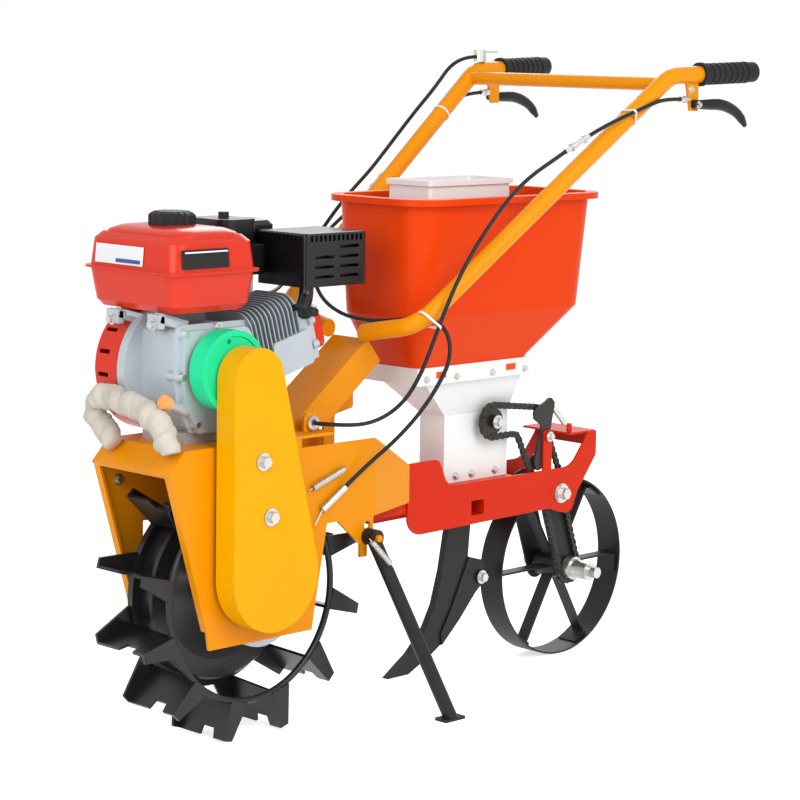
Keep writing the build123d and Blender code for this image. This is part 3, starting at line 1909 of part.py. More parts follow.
def belt_wire(wheels):
    runs = belt_runs(wheels)
    edges = []
    for k, (start, end, angle) in enumerate(runs):
        following = runs[(k + 1) % len(runs)]
        x, z, radius, turn = wheels[(k + 1) % len(wheels)]
        sweep = turn * ((turn * (following[2] - angle)) % (2 * math.pi))
        middle = angle + sweep / 2
        reach = radius * turn
        edges.append(Line(start, end))
        edges.append(
            ThreePointArc(
                end,
                (x + reach * math.sin(middle), z - reach * math.cos(middle)),
                following[0],
            )
        )
    return Wire(edges)


def chain_loop(wheels, lane):
    # one link plate for each pitch of the loop, wide and narrow in turn
    path = belt_wire(wheels)
    count = 2 * round(path.length / chain_pitch / 2)
    high = chain_plate_height / 2
    long = path.length / count / 2 + high / 2
    outline = [(-long, -high / 2), (-long, high / 2), (high - long, high), (long - high, high)]
    outline += [(-x, -z) for x, z in outline]
    links = []
    for k in range(count):
        at, run = path @ (k / count), path % (k / count)
        half = chain_width / 2 if k % 2 else chain_width * 3 / 8
        link = side_cut(outline, lane - half, lane + half)
        turned = spin(link, math.degrees(math.atan2(run.Y, run.X)))
        links.append(turned.translate((at.X, 0, at.Y)))
    return links[0] + links[1:]


def make_arm_chain():
    radius = sprocket_radius(axle_sprocket_teeth)
    return chain_loop(
        ((pivot_x, pivot_z, radius, 1), (-wheel_base, ground_wheel_radius, radius, 1)), arm_lane_y
    )


def make_metering_chain():
    return chain_loop(
        (
            (meter_shaft_x, meter_shaft_z, sprocket_radius(meter_sprocket_teeth), 1),
            (tension_x, tension_high_z, tension_roller_radius, 1),
            (pivot_x, pivot_z, sprocket_radius(axle_sprocket_teeth), 1),
            (tension_x, tension_low_z, sprocket_radius(tension_sprocket_teeth), 1),
            (slack_x, slack_z, slack_radius, -1),
        ),
        meter_lane_y,
    )


# Opener


shank_shares = (
    (-0.06, 1),
    (0, 0.75),
    (0.09, 0.55),
    (0.21, 0.38),
    (0.37, 0.26),
    (0.63, 0.157),
    (1, 0.056),
    (0.65, 0.056),
    (0.25, 0.135),
    (0.07, 0.18),
    (-0.23, 0.3),
    (-0.37, 0.45),
    (-0.35, 0.6),
    (-0.38, 0.75),
    (-0.42, 1),
)


def make_shank():
    # curved bar: front edge down to the point, rear edge back up, as shares of its height
    half = shank_thickness / 2
    rise = meter_bottom_z - chassis_cross
    points = [(shank_front_x + tip_reach * a, rise * b) for a, b in shank_shares]
    return side_cut(points, -half, half)


# Boot plates behind the shank: shares of the tip's reach and of the shank's height
boot_shares = (
    (-0.35, 0.6, 0),
    (-0.6, 0.57, 0.08),
    (-0.68, 0.48, 0.08),
    (-0.46, 0.403, 0.08),
    (-0.2, 0.285, 0.1),
    (0.1, 0.17, 0),
    (0.12, 0.23, 0),
    (-0.04, 0.34, 0.1),
    (-0.18, 0.455, 0.1),
)


def make_boot():
    rise = meter_bottom_z - chassis_cross
    corners = [(shank_front_x + tip_reach * a, rise * b, tip_reach * r) for a, b, r in boot_shares]
    low = shank_thickness / 2 + seat_gap
    plate = rounded_cut(corners, low, low + boot_plate)
    end = low + 2 * boot_plate
    bolt = cross_rod(boot_bolt_x, boot_bolt_z, boot_bolt_radius, -end, end)
    return plate + far_side(plate) + bolt


# Side stand

stand_run = (
    Vector(stand_foot_x, stand_foot_y, stand_foot_plate)
    - Vector(stand_pivot_x, stand_pivot_y, stand_pivot_z)
).normalized()


def make_stand():
    start = Vector(stand_pivot_x, stand_pivot_y, stand_pivot_z)
    end = Vector(stand_foot_x, stand_foot_y, stand_foot_plate)
    leg = rod(tuple(start), tuple(end + stand_run * stand_foot_plate), stand_tube_radius)
    leg &= block((-wheel_base, wheel_base), (-wheel_base, wheel_base), (0, wheel_base))
    eye_low = side_plate_half_gap + seat_gap
    leg += cross_rod(
        stand_pivot_x,
        stand_pivot_z,
        stand_eye_radius,
        eye_low,
        2 * stand_pivot_y - eye_low,
    )
    leg -= cross_rod(
        stand_pivot_x, stand_pivot_z, stand_pin_radius + axle_gap, 0, 2 * stand_pivot_y
    )
    foot = block(
        (stand_foot_x - stand_foot_length / 2, stand_foot_x + stand_foot_length / 2),
        (stand_foot_y - stand_foot_width / 2, stand_foot_y + stand_foot_width / 2),
        (0, stand_foot_plate),
    )
    return leg + foot


def make_stand_bracket():
    # ear under the side plate with the stop strip and the leg's hinge bolt
    near = side_plate_half_gap
    low = stand_pivot_z - stand_eye_radius
    ear = rounded_cut(
        [
            (stand_bracket_front_x, wing_lower_z, 0),
            (stand_bracket_rear_x, wing_lower_z, 0),
            (stand_bracket_rear_x, low, stand_eye_radius),
            (stand_pivot_x + stand_eye_radius, low, stand_eye_radius),
        ],
        near - frame_plate,
        near,
    )
    ear &= level_cut(wing_strip(), 0, bed_top)
    hole_x = stand_bracket_rear_x + 2 * stand_bracket_hole
    ear -= cross_rod(hole_x, wing_lower_z - 2 * stand_bracket_hole, stand_bracket_hole, 0, 2 * near)
    stop = block(
        (stand_pivot_x, stand_pivot_x + stand_stop_width),
        (near - frame_plate, near),
        (stand_stop_low_z, stand_pivot_z),
    )
    pin = cross_rod(
        stand_pivot_x,
        stand_pivot_z,
        stand_pin_radius,
        near - frame_plate,
        2 * stand_pivot_y - near + frame_plate,
    )
    return ear + stop + pin


def make_stand_spring():
    # from the hinge bolt's side down to a pin on the leg
    y = 2 * stand_pivot_y - side_plate_half_gap + frame_plate + stand_spring_radius
    top = Vector(stand_pivot_x + stand_spring_top, y, stand_pivot_z + stand_spring_radius)
    start = Vector(stand_pivot_x, stand_pivot_y, stand_pivot_z)
    low = start + stand_run * stand_spring_drop
    out = stand_tube_radius + 2 * stand_spring_radius
    foot = Vector(low.X, low.Y + out, low.Z)
    return spring_between(tuple(top), tuple(foot), stand_spring_radius, stand_spring_wire)


def make_front_wrap():
    low = bed_top - wrap_drop
    return bent_tube(
        [
            (wrap_x, -wrap_half_span, low),
            (wrap_x, -wrap_half_span + wrap_radius / 2, low + wrap_rise),
            (wrap_x, wrap_half_span / 4, low + wrap_rise + wrap_radius / 2),
            (wrap_x, wrap_half_span, low + wrap_rise / 2),
            (wrap_x, wrap_half_span + wrap_radius / 4, low),
        ],
        wrap_radius,
        wrap_bend,
    )


nodes = {}
nodes["drive_wheel_lug_ring"] = make_lug_ring()
nodes["drive_wheel_drum"] = make_drum()
nodes["drive_axle"] = make_drive_axle()
nodes["gearbox"] = make_gearbox()
nodes["engine_bed"] = make_engine_bed() + make_beam_bush()
nodes["side_plate_left"] = make_side_plate()
nodes["side_plate_right"] = far_side(make_side_plate() - make_leg_window())
nodes["beam"] = make_beam()
nodes["cable_bush"] = make_bush()
nodes["beam_post"] = make_post()
nodes["handlebar"] = make_handlebar()
nodes["grip_left"] = make_grip()
nodes["grip_right"] = far_side(make_grip())
nodes["crankcase"] = make_crankcase()
nodes["crankcase_cover"] = make_crank_cover()
nodes["oil_plug"] = make_oil_plug()
nodes["cylinder"] = make_cylinder()
nodes["cylinder_head"] = make_cylinder_head()
nodes["valve_cover"] = make_valve_cover()
nodes["recoil_housing"] = make_recoil()
nodes["fuel_tank"] = make_tank()
nodes["fuel_cap"] = make_fuel_cap()
nodes["muffler"] = make_muffler()
nodes["tank_brackets"] = make_tank_brackets()
nodes["exhaust_elbow"] = make_elbow()
nodes["carburettor"] = make_carburettor()
nodes["air_cleaner"] = make_air_cleaner()
nodes["chain_case"] = make_chain_case()
nodes["belt_pulley"] = make_pulley()
nodes["hopper"] = make_hopper()
nodes["hopper_insert"] = make_insert()
nodes["hopper_tray"] = make_tray()
nodes["metering_box"] = make_metering_box()
nodes["chassis_plate_left"] = make_chassis_plate() + make_tab()
nodes["chassis_plate_right"] = far_side(make_chassis_plate())
back, floor, link = make_chassis_cross()
nodes["chassis_cross_plates"] = back + floor + link
nodes["ground_wheel_rim"] = make_ground_rim()
nodes["ground_wheel_axle"] = make_ground_axle()
nodes["pivot_shaft"] = make_pivot_shaft()
nodes["wheel_arm_left"] = make_arm()
nodes["wheel_arm_right"] = far_side(make_arm())
nodes["arm_chain"] = make_arm_chain()
nodes["metering_sprocket"] = make_metering_drive()
nodes["metering_chain"] = make_metering_chain()
nodes["tensioner_arm"] = make_tensioner()
nodes["tensioner_spring"] = make_tensioner_spring()
nodes["front_wrap"] = make_front_wrap()
nodes["lever_left"] = make_lever()
nodes["lever_right"] = far_side(make_lever())
nodes["stand_bracket"] = make_stand_bracket()
nodes["opener_shank"] = make_shank()
nodes["opener_boot"] = make_boot()
nodes["throttle_control"] = make_throttle()
nodes["clutch_cable"] = make_clutch_cable()
nodes["brake_cable"] = make_brake_cable()
nodes["throttle_cable"] = make_throttle_cable()
nodes["cable_adjuster"] = make_adjuster()
nodes["clutch_spring"] = make_clutch_spring()
nodes["stand_leg"] = make_stand()
nodes["stand_spring"] = make_stand_spring()

# Move the whole machine so that the origin is on the ground under the middle of its box
boxes = [piece.bounding_box() for piece in nodes.values()]
middle_x = (min(b.min.X for b in boxes) + max(b.max.X for b in boxes)) / 2
middle_y = (min(b.min.Y for b in boxes) + max(b.max.Y for b in boxes)) / 2
print("drive axle at x", -middle_x, "box y middle", middle_y, "axle height", axle_height)
os.makedirs("parts", exist_ok=True)
for name, piece in nodes.items():
    export_step(piece.translate((-middle_x, -middle_y, 0)), f"parts/{name}.step")
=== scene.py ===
import math

import bmesh
import bpy
from mathutils import Matrix, Vector


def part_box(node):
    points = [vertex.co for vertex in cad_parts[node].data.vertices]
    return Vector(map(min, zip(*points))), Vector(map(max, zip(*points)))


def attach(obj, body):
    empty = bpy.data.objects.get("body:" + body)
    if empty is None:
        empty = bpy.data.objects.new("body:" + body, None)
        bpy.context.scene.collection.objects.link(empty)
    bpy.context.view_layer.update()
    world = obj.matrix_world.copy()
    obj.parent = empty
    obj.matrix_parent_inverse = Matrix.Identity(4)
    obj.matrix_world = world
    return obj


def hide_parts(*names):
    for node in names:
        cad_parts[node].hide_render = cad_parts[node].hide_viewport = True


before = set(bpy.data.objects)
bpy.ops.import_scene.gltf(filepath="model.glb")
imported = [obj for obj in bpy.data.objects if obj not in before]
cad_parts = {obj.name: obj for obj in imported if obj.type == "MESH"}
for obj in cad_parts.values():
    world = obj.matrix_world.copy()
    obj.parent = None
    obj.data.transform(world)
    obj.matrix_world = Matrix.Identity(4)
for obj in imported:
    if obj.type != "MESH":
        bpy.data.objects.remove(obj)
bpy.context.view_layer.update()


# The frame is folded steel plate with a powder coat: the bed under the engine, the two side
# plates over the drive wheel, the beam and the bent tubes of the handlebar. The belt case has a
# yellower coat, and the seed frame behind it is coated red.
def coating(
    name, colour, roughness, metallic=0.0, grain=0.012, cloud=0.06, bump=0.08, shine=0.25
):
    """Surface with a faintly clouded colour, uneven gloss and a fine grain in its face."""
    material = bpy.data.materials.new(name)
    material.use_nodes = True
    nodes, links = material.node_tree.nodes, material.node_tree.links
    shader = nodes["Principled BSDF"]
    shader.inputs["Metallic"].default_value = metallic
    shader.inputs["Specular IOR Level"].default_value = shine
    place = nodes.new("ShaderNodeTexCoord")
    clouds = nodes.new("ShaderNodeTexNoise")
    clouds.inputs["Scale"].default_value = 11
    clouds.inputs["Detail"].default_value = 5
    links.new(place.outputs["Object"], clouds.inputs["Vector"])
    tint = nodes.new("ShaderNodeMix")
    tint.data_type = "RGBA"
    tint.inputs["A"].default_value = (*[c * (1 - cloud) for c in colour], 1)
    tint.inputs["B"].default_value = (*[min(1, c * (1 + cloud)) for c in colour], 1)
    links.new(clouds.outputs["Fac"], tint.inputs["Factor"])
    links.new(tint.outputs["Result"], shader.inputs["Base Color"])
    gloss = nodes.new("ShaderNodeMapRange")
    gloss.inputs["To Min"].default_value = roughness * 0.8
    gloss.inputs["To Max"].default_value = min(1, roughness * 1.25)
    links.new(clouds.outputs["Fac"], gloss.inputs["Value"])
    links.new(gloss.outputs["Result"], shader.inputs["Roughness"])
    speckle = nodes.new("ShaderNodeTexNoise")
    speckle.inputs["Scale"].default_value = 1 / grain
    speckle.inputs["Detail"].default_value = 3
    links.new(place.outputs["Object"], speckle.inputs["Vector"])
    relief = nodes.new("ShaderNodeBump")
    relief.inputs["Strength"].default_value = bump
    relief.inputs["Distance"].default_value = 0.001
    links.new(speckle.outputs["Fac"], relief.inputs["Height"])
    links.new(relief.outputs["Normal"], shader.inputs["Normal"])
    return material


def dress(material, *names):
    for name in names:
        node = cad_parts[name]
        for slot in node.material_slots:
            slot.material = material


orange_coat = coating("orange_coat", (0.84, 0.295, 0.001), 0.3, shine=0.15)
belt_case_coat = coating("belt_case_coat", (0.84, 0.41, 0.0), 0.28, shine=0.12)
red_coat = coating("red_coat", (0.66, 0.022, 0.001), 0.32, shine=0.15)
dress(
    orange_coat,
    "engine_bed", "side_plate_left", "side_plate_right", "beam", "beam_post", "handlebar",
    "stand_bracket",
)
dress(belt_case_coat, "chain_case")
dress(red_coat, "chassis_plate_left", "chassis_plate_right", "chassis_cross_plates")

# Shafts, stops and the engine's castings are left bare: the shafts and stops are turned steel
# with a zinc plating, and the castings are aluminium out of a sand mould, with its dull grain.
cast_metal = coating(
    "cast_metal", (0.5, 0.56, 0.6), 0.48, metallic=0.35, grain=0.0025, cloud=0.16, bump=0.5
)
bright_steel = coating(
    "bright_steel", (0.6, 0.6, 0.58), 0.28, metallic=0.9, grain=0.003, cloud=0.08, bump=0.06
)
dress(
    cast_metal,
    "gearbox", "crankcase", "crankcase_cover", "cylinder_head", "tank_brackets", "carburettor",
)
dress(
    bright_steel,
    "drive_axle", "cable_bush", "cable_adjuster", "ground_wheel_axle", "pivot_shaft",
    "throttle_control",
)

# Drive wheel: a pressed drum and an open ring of folded steel lugs, welded together and painted
# black, in a coat that soil has worn to a half gloss.
lug_coat = coating("lug_coat", (0.01, 0.01, 0.012), 0.3, grain=0.003, bump=0.2, shine=0.4)
dress(lug_coat, "drive_wheel_drum", "drive_wheel_lug_ring")


# Bolts hold the belt case and the far side plate, and much else on the machine. All are zinc
# plated hexagon heads on plain washers out of one mould, so a small tree sets one on each place
# that a group of bolts has.
def bolt_tree(material):
    tree = bpy.data.node_groups.new("bolt_heads", "GeometryNodeTree")
    face = tree.interface
    face.new_socket(name="Places", in_out="INPUT", socket_type="NodeSocketGeometry")
    sizes = {}
    for name in ("Head radius", "Head height", "Washer radius", "Washer height"):
        sizes[name] = face.new_socket(name=name, in_out="INPUT", socket_type="NodeSocketFloat")
    turn = face.new_socket(name="Turn", in_out="INPUT", socket_type="NodeSocketVector")
    face.new_socket(name="Bolts", in_out="OUTPUT", socket_type="NodeSocketGeometry")
    nodes, links = tree.nodes, tree.links
    given = nodes.new("NodeGroupInput")
    joined = nodes.new("GeometryNodeJoinGeometry")
    below = None
    for part, sides in (("Washer", 20), ("Head", 6)):
        solid = nodes.new("GeometryNodeMeshCylinder")
        solid.inputs["Vertices"].default_value = sides
        links.new(given.outputs[part + " radius"], solid.inputs["Radius"])
        links.new(given.outputs[part + " height"], solid.inputs["Depth"])
        half = nodes.new("ShaderNodeMath")
        half.operation = "MULTIPLY_ADD"
        half.inputs[1].default_value = 0.5
        links.new(given.outputs[part + " height"], half.inputs[0])
        if below:
            links.new(below, half.inputs[2])
        else:
            half.inputs[2].default_value = 0
        below = given.outputs[part + " height"]
        lift = nodes.new("ShaderNodeCombineXYZ")
        links.new(half.outputs[0], lift.inputs["Z"])
        raised = nodes.new("GeometryNodeTransform")
        links.new(solid.outputs["Mesh"], raised.inputs["Geometry"])
        links.new(lift.outputs[0], raised.inputs["Translation"])
        links.new(raised.outputs[0], joined.inputs[0])
    spread = nodes.new("GeometryNodeInstanceOnPoints")
    links.new(given.outputs["Places"], spread.inputs["Points"])
    links.new(joined.outputs[0], spread.inputs["Instance"])
    links.new(given.outputs["Turn"], spread.inputs["Rotation"])
    real = nodes.new("GeometryNodeRealizeInstances")
    links.new(spread.outputs[0], real.inputs[0])
    plated = nodes.new("GeometryNodeSetMaterial")
    plated.inputs["Material"].default_value = material
    links.new(real.outputs[0], plated.inputs["Geometry"])
    done = nodes.new("NodeGroupOutput")
    links.new(plated.outputs[0], done.inputs[0])
    return tree, sizes, turn


def grown(name, points, edges, tree, inputs):
    """Plain mesh of what a tree grows from some points."""
    seed = bpy.data.meshes.new(name + "_seed")
    seed.from_pydata(points, edges, [])
    carrier = bpy.data.objects.new(name + "_seed", seed)
    bpy.context.scene.collection.objects.link(carrier)
    modifier = carrier.modifiers.new(name, "NODES")
    modifier.node_group = tree
    for socket, value in inputs:
        modifier[socket.identifier] = value
    bpy.context.view_layer.update()
    shape = carrier.evaluated_get(bpy.context.evaluated_depsgraph_get())
    mesh = bpy.data.meshes.new_from_object(shape)
    mesh.name = name
    bpy.data.objects.remove(carrier)
    piece = bpy.data.objects.new(name, mesh)
    bpy.context.scene.collection.objects.link(piece)
    return piece


bolt_heads, bolt_sizes, bolt_turn = bolt_tree(bright_steel)
washer_reach, washer_depth = 1.55, 0.28
facing_turn = {
    "left": (-math.pi / 2, 0, 0),
    "right": (math.pi / 2, 0, 0),
    "down": (math.pi, 0, 0),
}
axle_x = sum(corner.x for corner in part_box("drive_axle")) / 2


def from_axle(x, y, z):
    """Place given in millimetres from the drive axle's middle along X, and from the ground."""
    return Vector((axle_x + x / 1000, y / 1000, z / 1000))


def bolts(name, places, facing, radius):
    """Bolts on some places, with washers whose sizes are shares of the head's radius."""
    inputs = [
        (bolt_sizes["Head radius"], radius),
        (bolt_sizes["Head height"], radius),
        (bolt_sizes["Washer radius"], radius * washer_reach),
        (bolt_sizes["Washer height"], radius * washer_depth),
        (bolt_turn, facing_turn[facing]),
    ]
    piece = grown(name, [from_axle(*p) for p in places], [], bolt_heads, inputs)
    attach(piece, "frame")


case_face, side_plate_face = 145.4, -89.5
bolts("case_bolts", [(51, case_face, 468), (34, case_face, 378)], "left", 0.0093)
bolts("leg_bolt", [(152, side_plate_face, 420)], "left", 0.006)

# Engine: a finned cylinder, a fan housing and a valve cover pressed from sheet, the housing
# painted red and the cover given the same red, and a black silencer and air cleaner. The cylinder
# takes a darker copy of the cast aluminium, which is painted shade for the shadow between its
# fins.
fin_metal_painted_shade = coating(
    "fin_metal_painted_shade", (0.36, 0.4, 0.44), 0.5, metallic=0.4, grain=0.0025, cloud=0.2, bump=0.3
)
housing_red = coating("housing_red", (0.7, 0.03, 0.008), 0.3)
muffler_black = coating(
    "muffler_black", (0.006, 0.006, 0.007), 0.26, grain=0.002, bump=0.12, shine=0.4
)
plug_orange = coating("plug_orange", (0.9, 0.42, 0.13), 0.45)
# Painted shade: the cylinder is dressed in cast aluminium made darker, for the shadow between its
# fins.
dress(fin_metal_painted_shade, "cylinder")
dress(housing_red, "recoil_housing", "valve_cover")
dress(muffler_black, "muffler", "air_cleaner")
dress(plug_orange, "oil_plug")


# Crankcase cover: cast aluminium, held by five bolts round its edge. Each bolt goes through a
# round boss of the casting, which is turned flat under the bolt's washer.
def skin(shape, rings, endless=False):
    """Faces between rings of vertices, with the ends capped or the last joined to the first."""
    following = rings[1:] + rings[:1] if endless else rings[1:]
    for low, high in zip(rings, following):
        for k in range(len(low)):
            n = (k + 1) % len(low)
            shape.faces.new((low[k], low[n], high[n], high[k]))
    if not endless:
        shape.faces.new(rings[0][::-1])
        shape.faces.new(rings[-1])


def piece_of(shape, name, material, smooth=False):
    """Turns a bmesh into a named piece of the machine's frame."""
    bmesh.ops.remove_doubles(shape, verts=shape.verts, dist=0.00001)
    bmesh.ops.recalc_face_normals(shape, faces=shape.faces)
    mesh = bpy.data.meshes.new(name)
    shape.to_mesh(mesh)
    shape.free()
    for face in mesh.polygons:
        face.use_smooth = smooth
    mesh.materials.append(material)
    piece = bpy.data.objects.new(name, mesh)
    bpy.context.scene.collection.objects.link(piece)
    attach(piece, "frame")
    return piece


def turned(name, start, end, profile, material, flutes=0, flute_depth=0.035, sides=72):
    """Turned piece from start to end: pairs of share of its length and radius."""
    along = end - start
    side = along.orthogonal().normalized()
    up = along.normalized().cross(side)
    shape = bmesh.new()
    rings = []
    for share, radius in profile:
        ring = []
        for k in range(sides):
            a = 2 * math.pi * k / sides
            reach = radius * (1 - flute_depth * (1 + math.cos(flutes * a)) if flutes else 1)
            ring.append(shape.verts.new(
                start + along * share + side * math.cos(a) * reach + up * math.sin(a) * reach
            ))
        rings.append(ring)
    skin(shape, rings)
    return piece_of(shape, name, material)


cover_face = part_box("crankcase_cover")[1].y * 1000 - 14
cover_places = [(134, 666), (141, 599), (111, 522), (66, 673), (-14, 585)]
boss_profile = [(0, 0.0085), (0.9, 0.0085), (1, 0.0075)]
bolts("cover_bolts", [(x, cover_face, z) for x, z in cover_places], "left", 0.0055)
for k, (x, z) in enumerate(cover_places):
    turned("cover_boss_" + str(k + 1), from_axle(x, cover_face - 30, z),
           from_axle(x, cover_face + 0.3, z), boss_profile, cast_metal)


# Tank arms: two cast aluminium arms that carry the tank, over the thin straps of its brackets.
# Each has a lug in front with a screw in it, and is bolted to the tank from below.
def plate(name, corner, along, up, thick, material):
    """Flat plate from its low corner along two edges, raised off what it is stuck to."""
    out = along.cross(up).normalized() * thick
    outline = [corner, corner + along, corner + along + up, corner + up]
    shape = bmesh.new()
    skin(shape, [[shape.verts.new(p + rise) for p in outline] for rise in (Vector(), out)])
    return piece_of(shape, name, material)


near_lane, far_lane = 27, -75
bracket_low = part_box("fuel_tank")[0].z * 1000 - 16
bolts("bracket_bolts", [(160, near_lane, bracket_low), (160, far_lane, bracket_low)], "down",
      0.0055)
arm_half_width = 15
arm_across = Vector((0, 0.03, 0))
screw_profile = [(0, 0.009), (0.3, 0.009), (0.3, 0.006), (1, 0.006)]
for name, lane in (("near", near_lane), ("far", far_lane)):
    plate("tank_arm_" + name, from_axle(174, lane - arm_half_width, 686), arm_across,
          Vector((-0.07, 0, -0.022)), 0.011, cast_metal)
    plate("tank_lug_" + name, from_axle(165, lane - arm_half_width, 676), arm_across,
          Vector((0, 0, 0.022)), 0.01, cast_metal)
    turned("tank_bolt_" + name, from_axle(174, lane, 682), from_axle(184, lane, 682),
           screw_profile, bright_steel)


# Exhaust: a steel pipe, bent from under the silencer to the head and painted black with it. Its
# flange has two ears, and a nut on each ear pulls it against the head.
def tube_along(points, radius, sides, reach_at, steps, normal=Vector((1, 0, 0))):
    """Tube on a smooth line, whose radius is a share of the given one round and along it."""
    line = bpy.data.curves.new("line", "CURVE")
    line.dimensions = "3D"
    spline = line.splines.new("NURBS")
    spline.points.add(len(points) - 1)
    for knot, point in zip(spline.points, points):
        knot.co = (*point, 1)
    spline.order_u = 3
    spline.use_endpoint_u = True
    spline.resolution_u = steps
    holder = bpy.data.objects.new("line", line)
    bpy.context.scene.collection.objects.link(holder)
    bpy.context.view_layer.update()
    path = bpy.data.meshes.new_from_object(
        holder.evaluated_get(bpy.context.evaluated_depsgraph_get())
    )
    way = [v.co.copy() for v in path.vertices]
    bpy.data.objects.remove(holder)
    shape = bmesh.new()
    rings = []
    for k, point in enumerate(way):
        ahead = way[min(k + 1, len(way) - 1)] - way[max(k - 1, 0)]
        side = ahead.cross(normal).normalized()
        out = side.cross(ahead).normalized()
        share = k / (len(way) - 1)
        ring = []
        for j in range(sides):
            turn = 2 * math.pi * j / sides
            reach = radius * reach_at(share, turn)
            ring.append(shape.verts.new(
                point + side * math.cos(turn) * reach + out * math.sin(turn) * reach
            ))
        rings.append(ring)
    skin(shape, rings)
    return shape


pipe_route = [
    from_axle(-131, 44, 728), from_axle(-131, 44, 712), from_axle(-122, 50, 700),
    from_axle(-104, 62, 687),
]
pipe = tube_along(pipe_route, 0.0125, 24, lambda share, turn: 1.0, 10)
elbow_pipe = piece_of(pipe, "elbow_pipe", muffler_black, smooth=True)
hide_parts("exhaust_elbow")
flange_seat = from_axle(-106, 60, 690)
flange_run = Vector((0.52, 0.33, -0.79))
flange_side = flange_run.cross(Vector((0, 0, 1))).normalized()
nut_height, nut_radius = 0.008, 0.0055
for name, shift, radius, thick in (
    ("middle", 0, 0.018, 0.007), ("front", 0.019, 0.0105, 0.006), ("rear", -0.019, 0.0105, 0.006),
):
    place = flange_seat + flange_side * shift
    turned("flange_" + name, place, place + flange_run * thick, [(0, radius), (1, radius)],
           muffler_black)
    if shift:
        turned("flange_nut_" + name, place - flange_run * nut_height, place,
               [(0, nut_radius), (1, nut_radius)], bright_steel)


# Air cleaner: a moulded box of black plastic beside the silencer. Its rear chamber stands behind
# the silencer, with a lid that is rounded off at its edge.
def stacked(name, levels, material, smooth=False, corner_steps=8):
    """Closed skin over rounded rectangles: front, rear, right, left, height and corner."""
    shape = bmesh.new()
    rings = []
    for front, rear, right, left, z, corner in levels:
        ring = []
        for x, y, first in (
            (front - corner, left - corner, 0), (rear + corner, left - corner, 1),
            (rear + corner, right + corner, 2), (front - corner, right + corner, 3),
        ):
            for k in range(corner_steps + 1):
                a = (first + k / corner_steps) * math.pi / 2
                ring.append(shape.verts.new(
                    from_axle(x + corner * math.cos(a), y + corner * math.sin(a), z)
                ))
        rings.append(ring)
    skin(shape, rings)
    return piece_of(shape, name, material, smooth)


stacked(
    "air_chamber",
    [(-100, -166, -140, -68, 750, 14), (-100, -166, -140, -68, 818, 14),
     (-102, -160, -134, -74, 825, 12), (-108, -146, -122, -84, 828, 10)],
    muffler_black,
)

# Fuel tank: two pressed steel halves, joined at a seam round the middle and painted in a gloss
# red. The upper half is drawn up to a low crown round the filler.
tank_red = coating("tank_red", (0.68, 0.03, 0.008), 0.22, grain=0.02, bump=0.03, shine=0.3)
dress(tank_red, "fuel_tank")
stacked(
    "tank_crown",
    [(158, 14, -138, 68, 814, 34), (152, 20, -132, 62, 822, 32), (138, 34, -118, 48, 828, 28),
     (112, 60, -92, 22, 831, 24)],
    tank_red, smooth=True,
)

# Fuel cap: moulded in black plastic, screwed on the filler, with flutes round its side for the
# hand and a slope down to them from its flat top.
cap_black = coating("cap_black", (0.012, 0.012, 0.012), 0.5, grain=0.002, bump=0.1)
filler_x, filler_y = 86.6, -35
cap_profile = [(0, 0.036), (0.12, 0.038), (0.72, 0.038), (0.88, 0.034), (1, 0.028)]
cap = turned(
    "cap_with_grips", from_axle(filler_x, filler_y, 828), from_axle(filler_x, filler_y, 852),
    cap_profile, cap_black, flutes=18,
)
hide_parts("fuel_cap")

# Label plates on the tank: thin sheet, stuck to its sloping sides and left blank. The front one
# is pale with a blue band, and the left one is dark with a pale line.
label_white = coating("label_white", (0.82, 0.83, 0.84), 0.35, bump=0.02)
label_dark = coating("label_dark", (0.015, 0.015, 0.016), 0.35, bump=0.02)
label_blue = coating("label_blue", (0.05, 0.09, 0.3), 0.35, bump=0.02)
sheet, print_height = 0.0006, 0.0004
front_lean = Vector((-0.1, 0, 1)).normalized()
front_label = from_axle(175.1, -118, 770)
plate("front_label", front_label, Vector((0, 0.118, 0)), front_lean * 0.03, sheet,
      label_white)
plate("front_label_band", front_label + Vector((sheet, 0.052, 0.003)), Vector((0, 0.06, 0)),
      front_lean * 0.006, print_height, label_blue)
side_lean = Vector((0, -0.1, 1)).normalized()
left_label = from_axle(160, 79, 770)
plate("left_label", left_label, Vector((-0.095, 0, 0)), side_lean * 0.03, sheet,
      label_dark)
plate("left_label_line", left_label + Vector((-0.004, sheet, 0.0245)),
      Vector((-0.087, 0, 0)), side_lean * 0.0025, print_height, label_white)

# Belt pulley: cast iron with a bright green coat, fixed on the crankshaft. It runs behind the
# top of the belt case, which covers a part of it.
dress(coating("pulley_green", (0.01, 0.74, 0.33), 0.35), "belt_pulley")


# Packing on the arch in front of the engine: a steel loop wrapped in pale foam sleeve, which
# is taped round and lies in loose lumps along it.
def foam_lumps(share, turn):
    swell = 0.1 * math.sin(34 * share + 2 * math.sin(turn)) + 0.07 * math.sin(61 * share + turn)
    crease = 0.09 * max(0.0, math.sin(97 * share + 1.7 * turn)) ** 6
    ends = min(1.0, 0.75 + 6 * min(share, 1 - share))
    return (1.0 + swell - crease) * ends


arch_x = 190
arch_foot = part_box("front_wrap")[0].z * 1000
foam_route = [
    from_axle(arch_x, y, arch_foot + rise) for y, rise in (
        (-50, 2), (-72, 20), (-98, 42), (-98, 66), (-68, 78), (-22, 70), (30, 62), (62, 44),
        (80, 20), (86, 2),
    )
]
sleeve = tube_along(foam_route, 0.0195, 28, foam_lumps, 16)
foam = coating(
    "foam", (0.6, 0.56, 0.49), 0.8, metallic=0, grain=0.004, cloud=0.22, bump=0.8
)
foam_sleeve = piece_of(sleeve, "foam_sleeve", foam, smooth=True)
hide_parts("front_wrap")

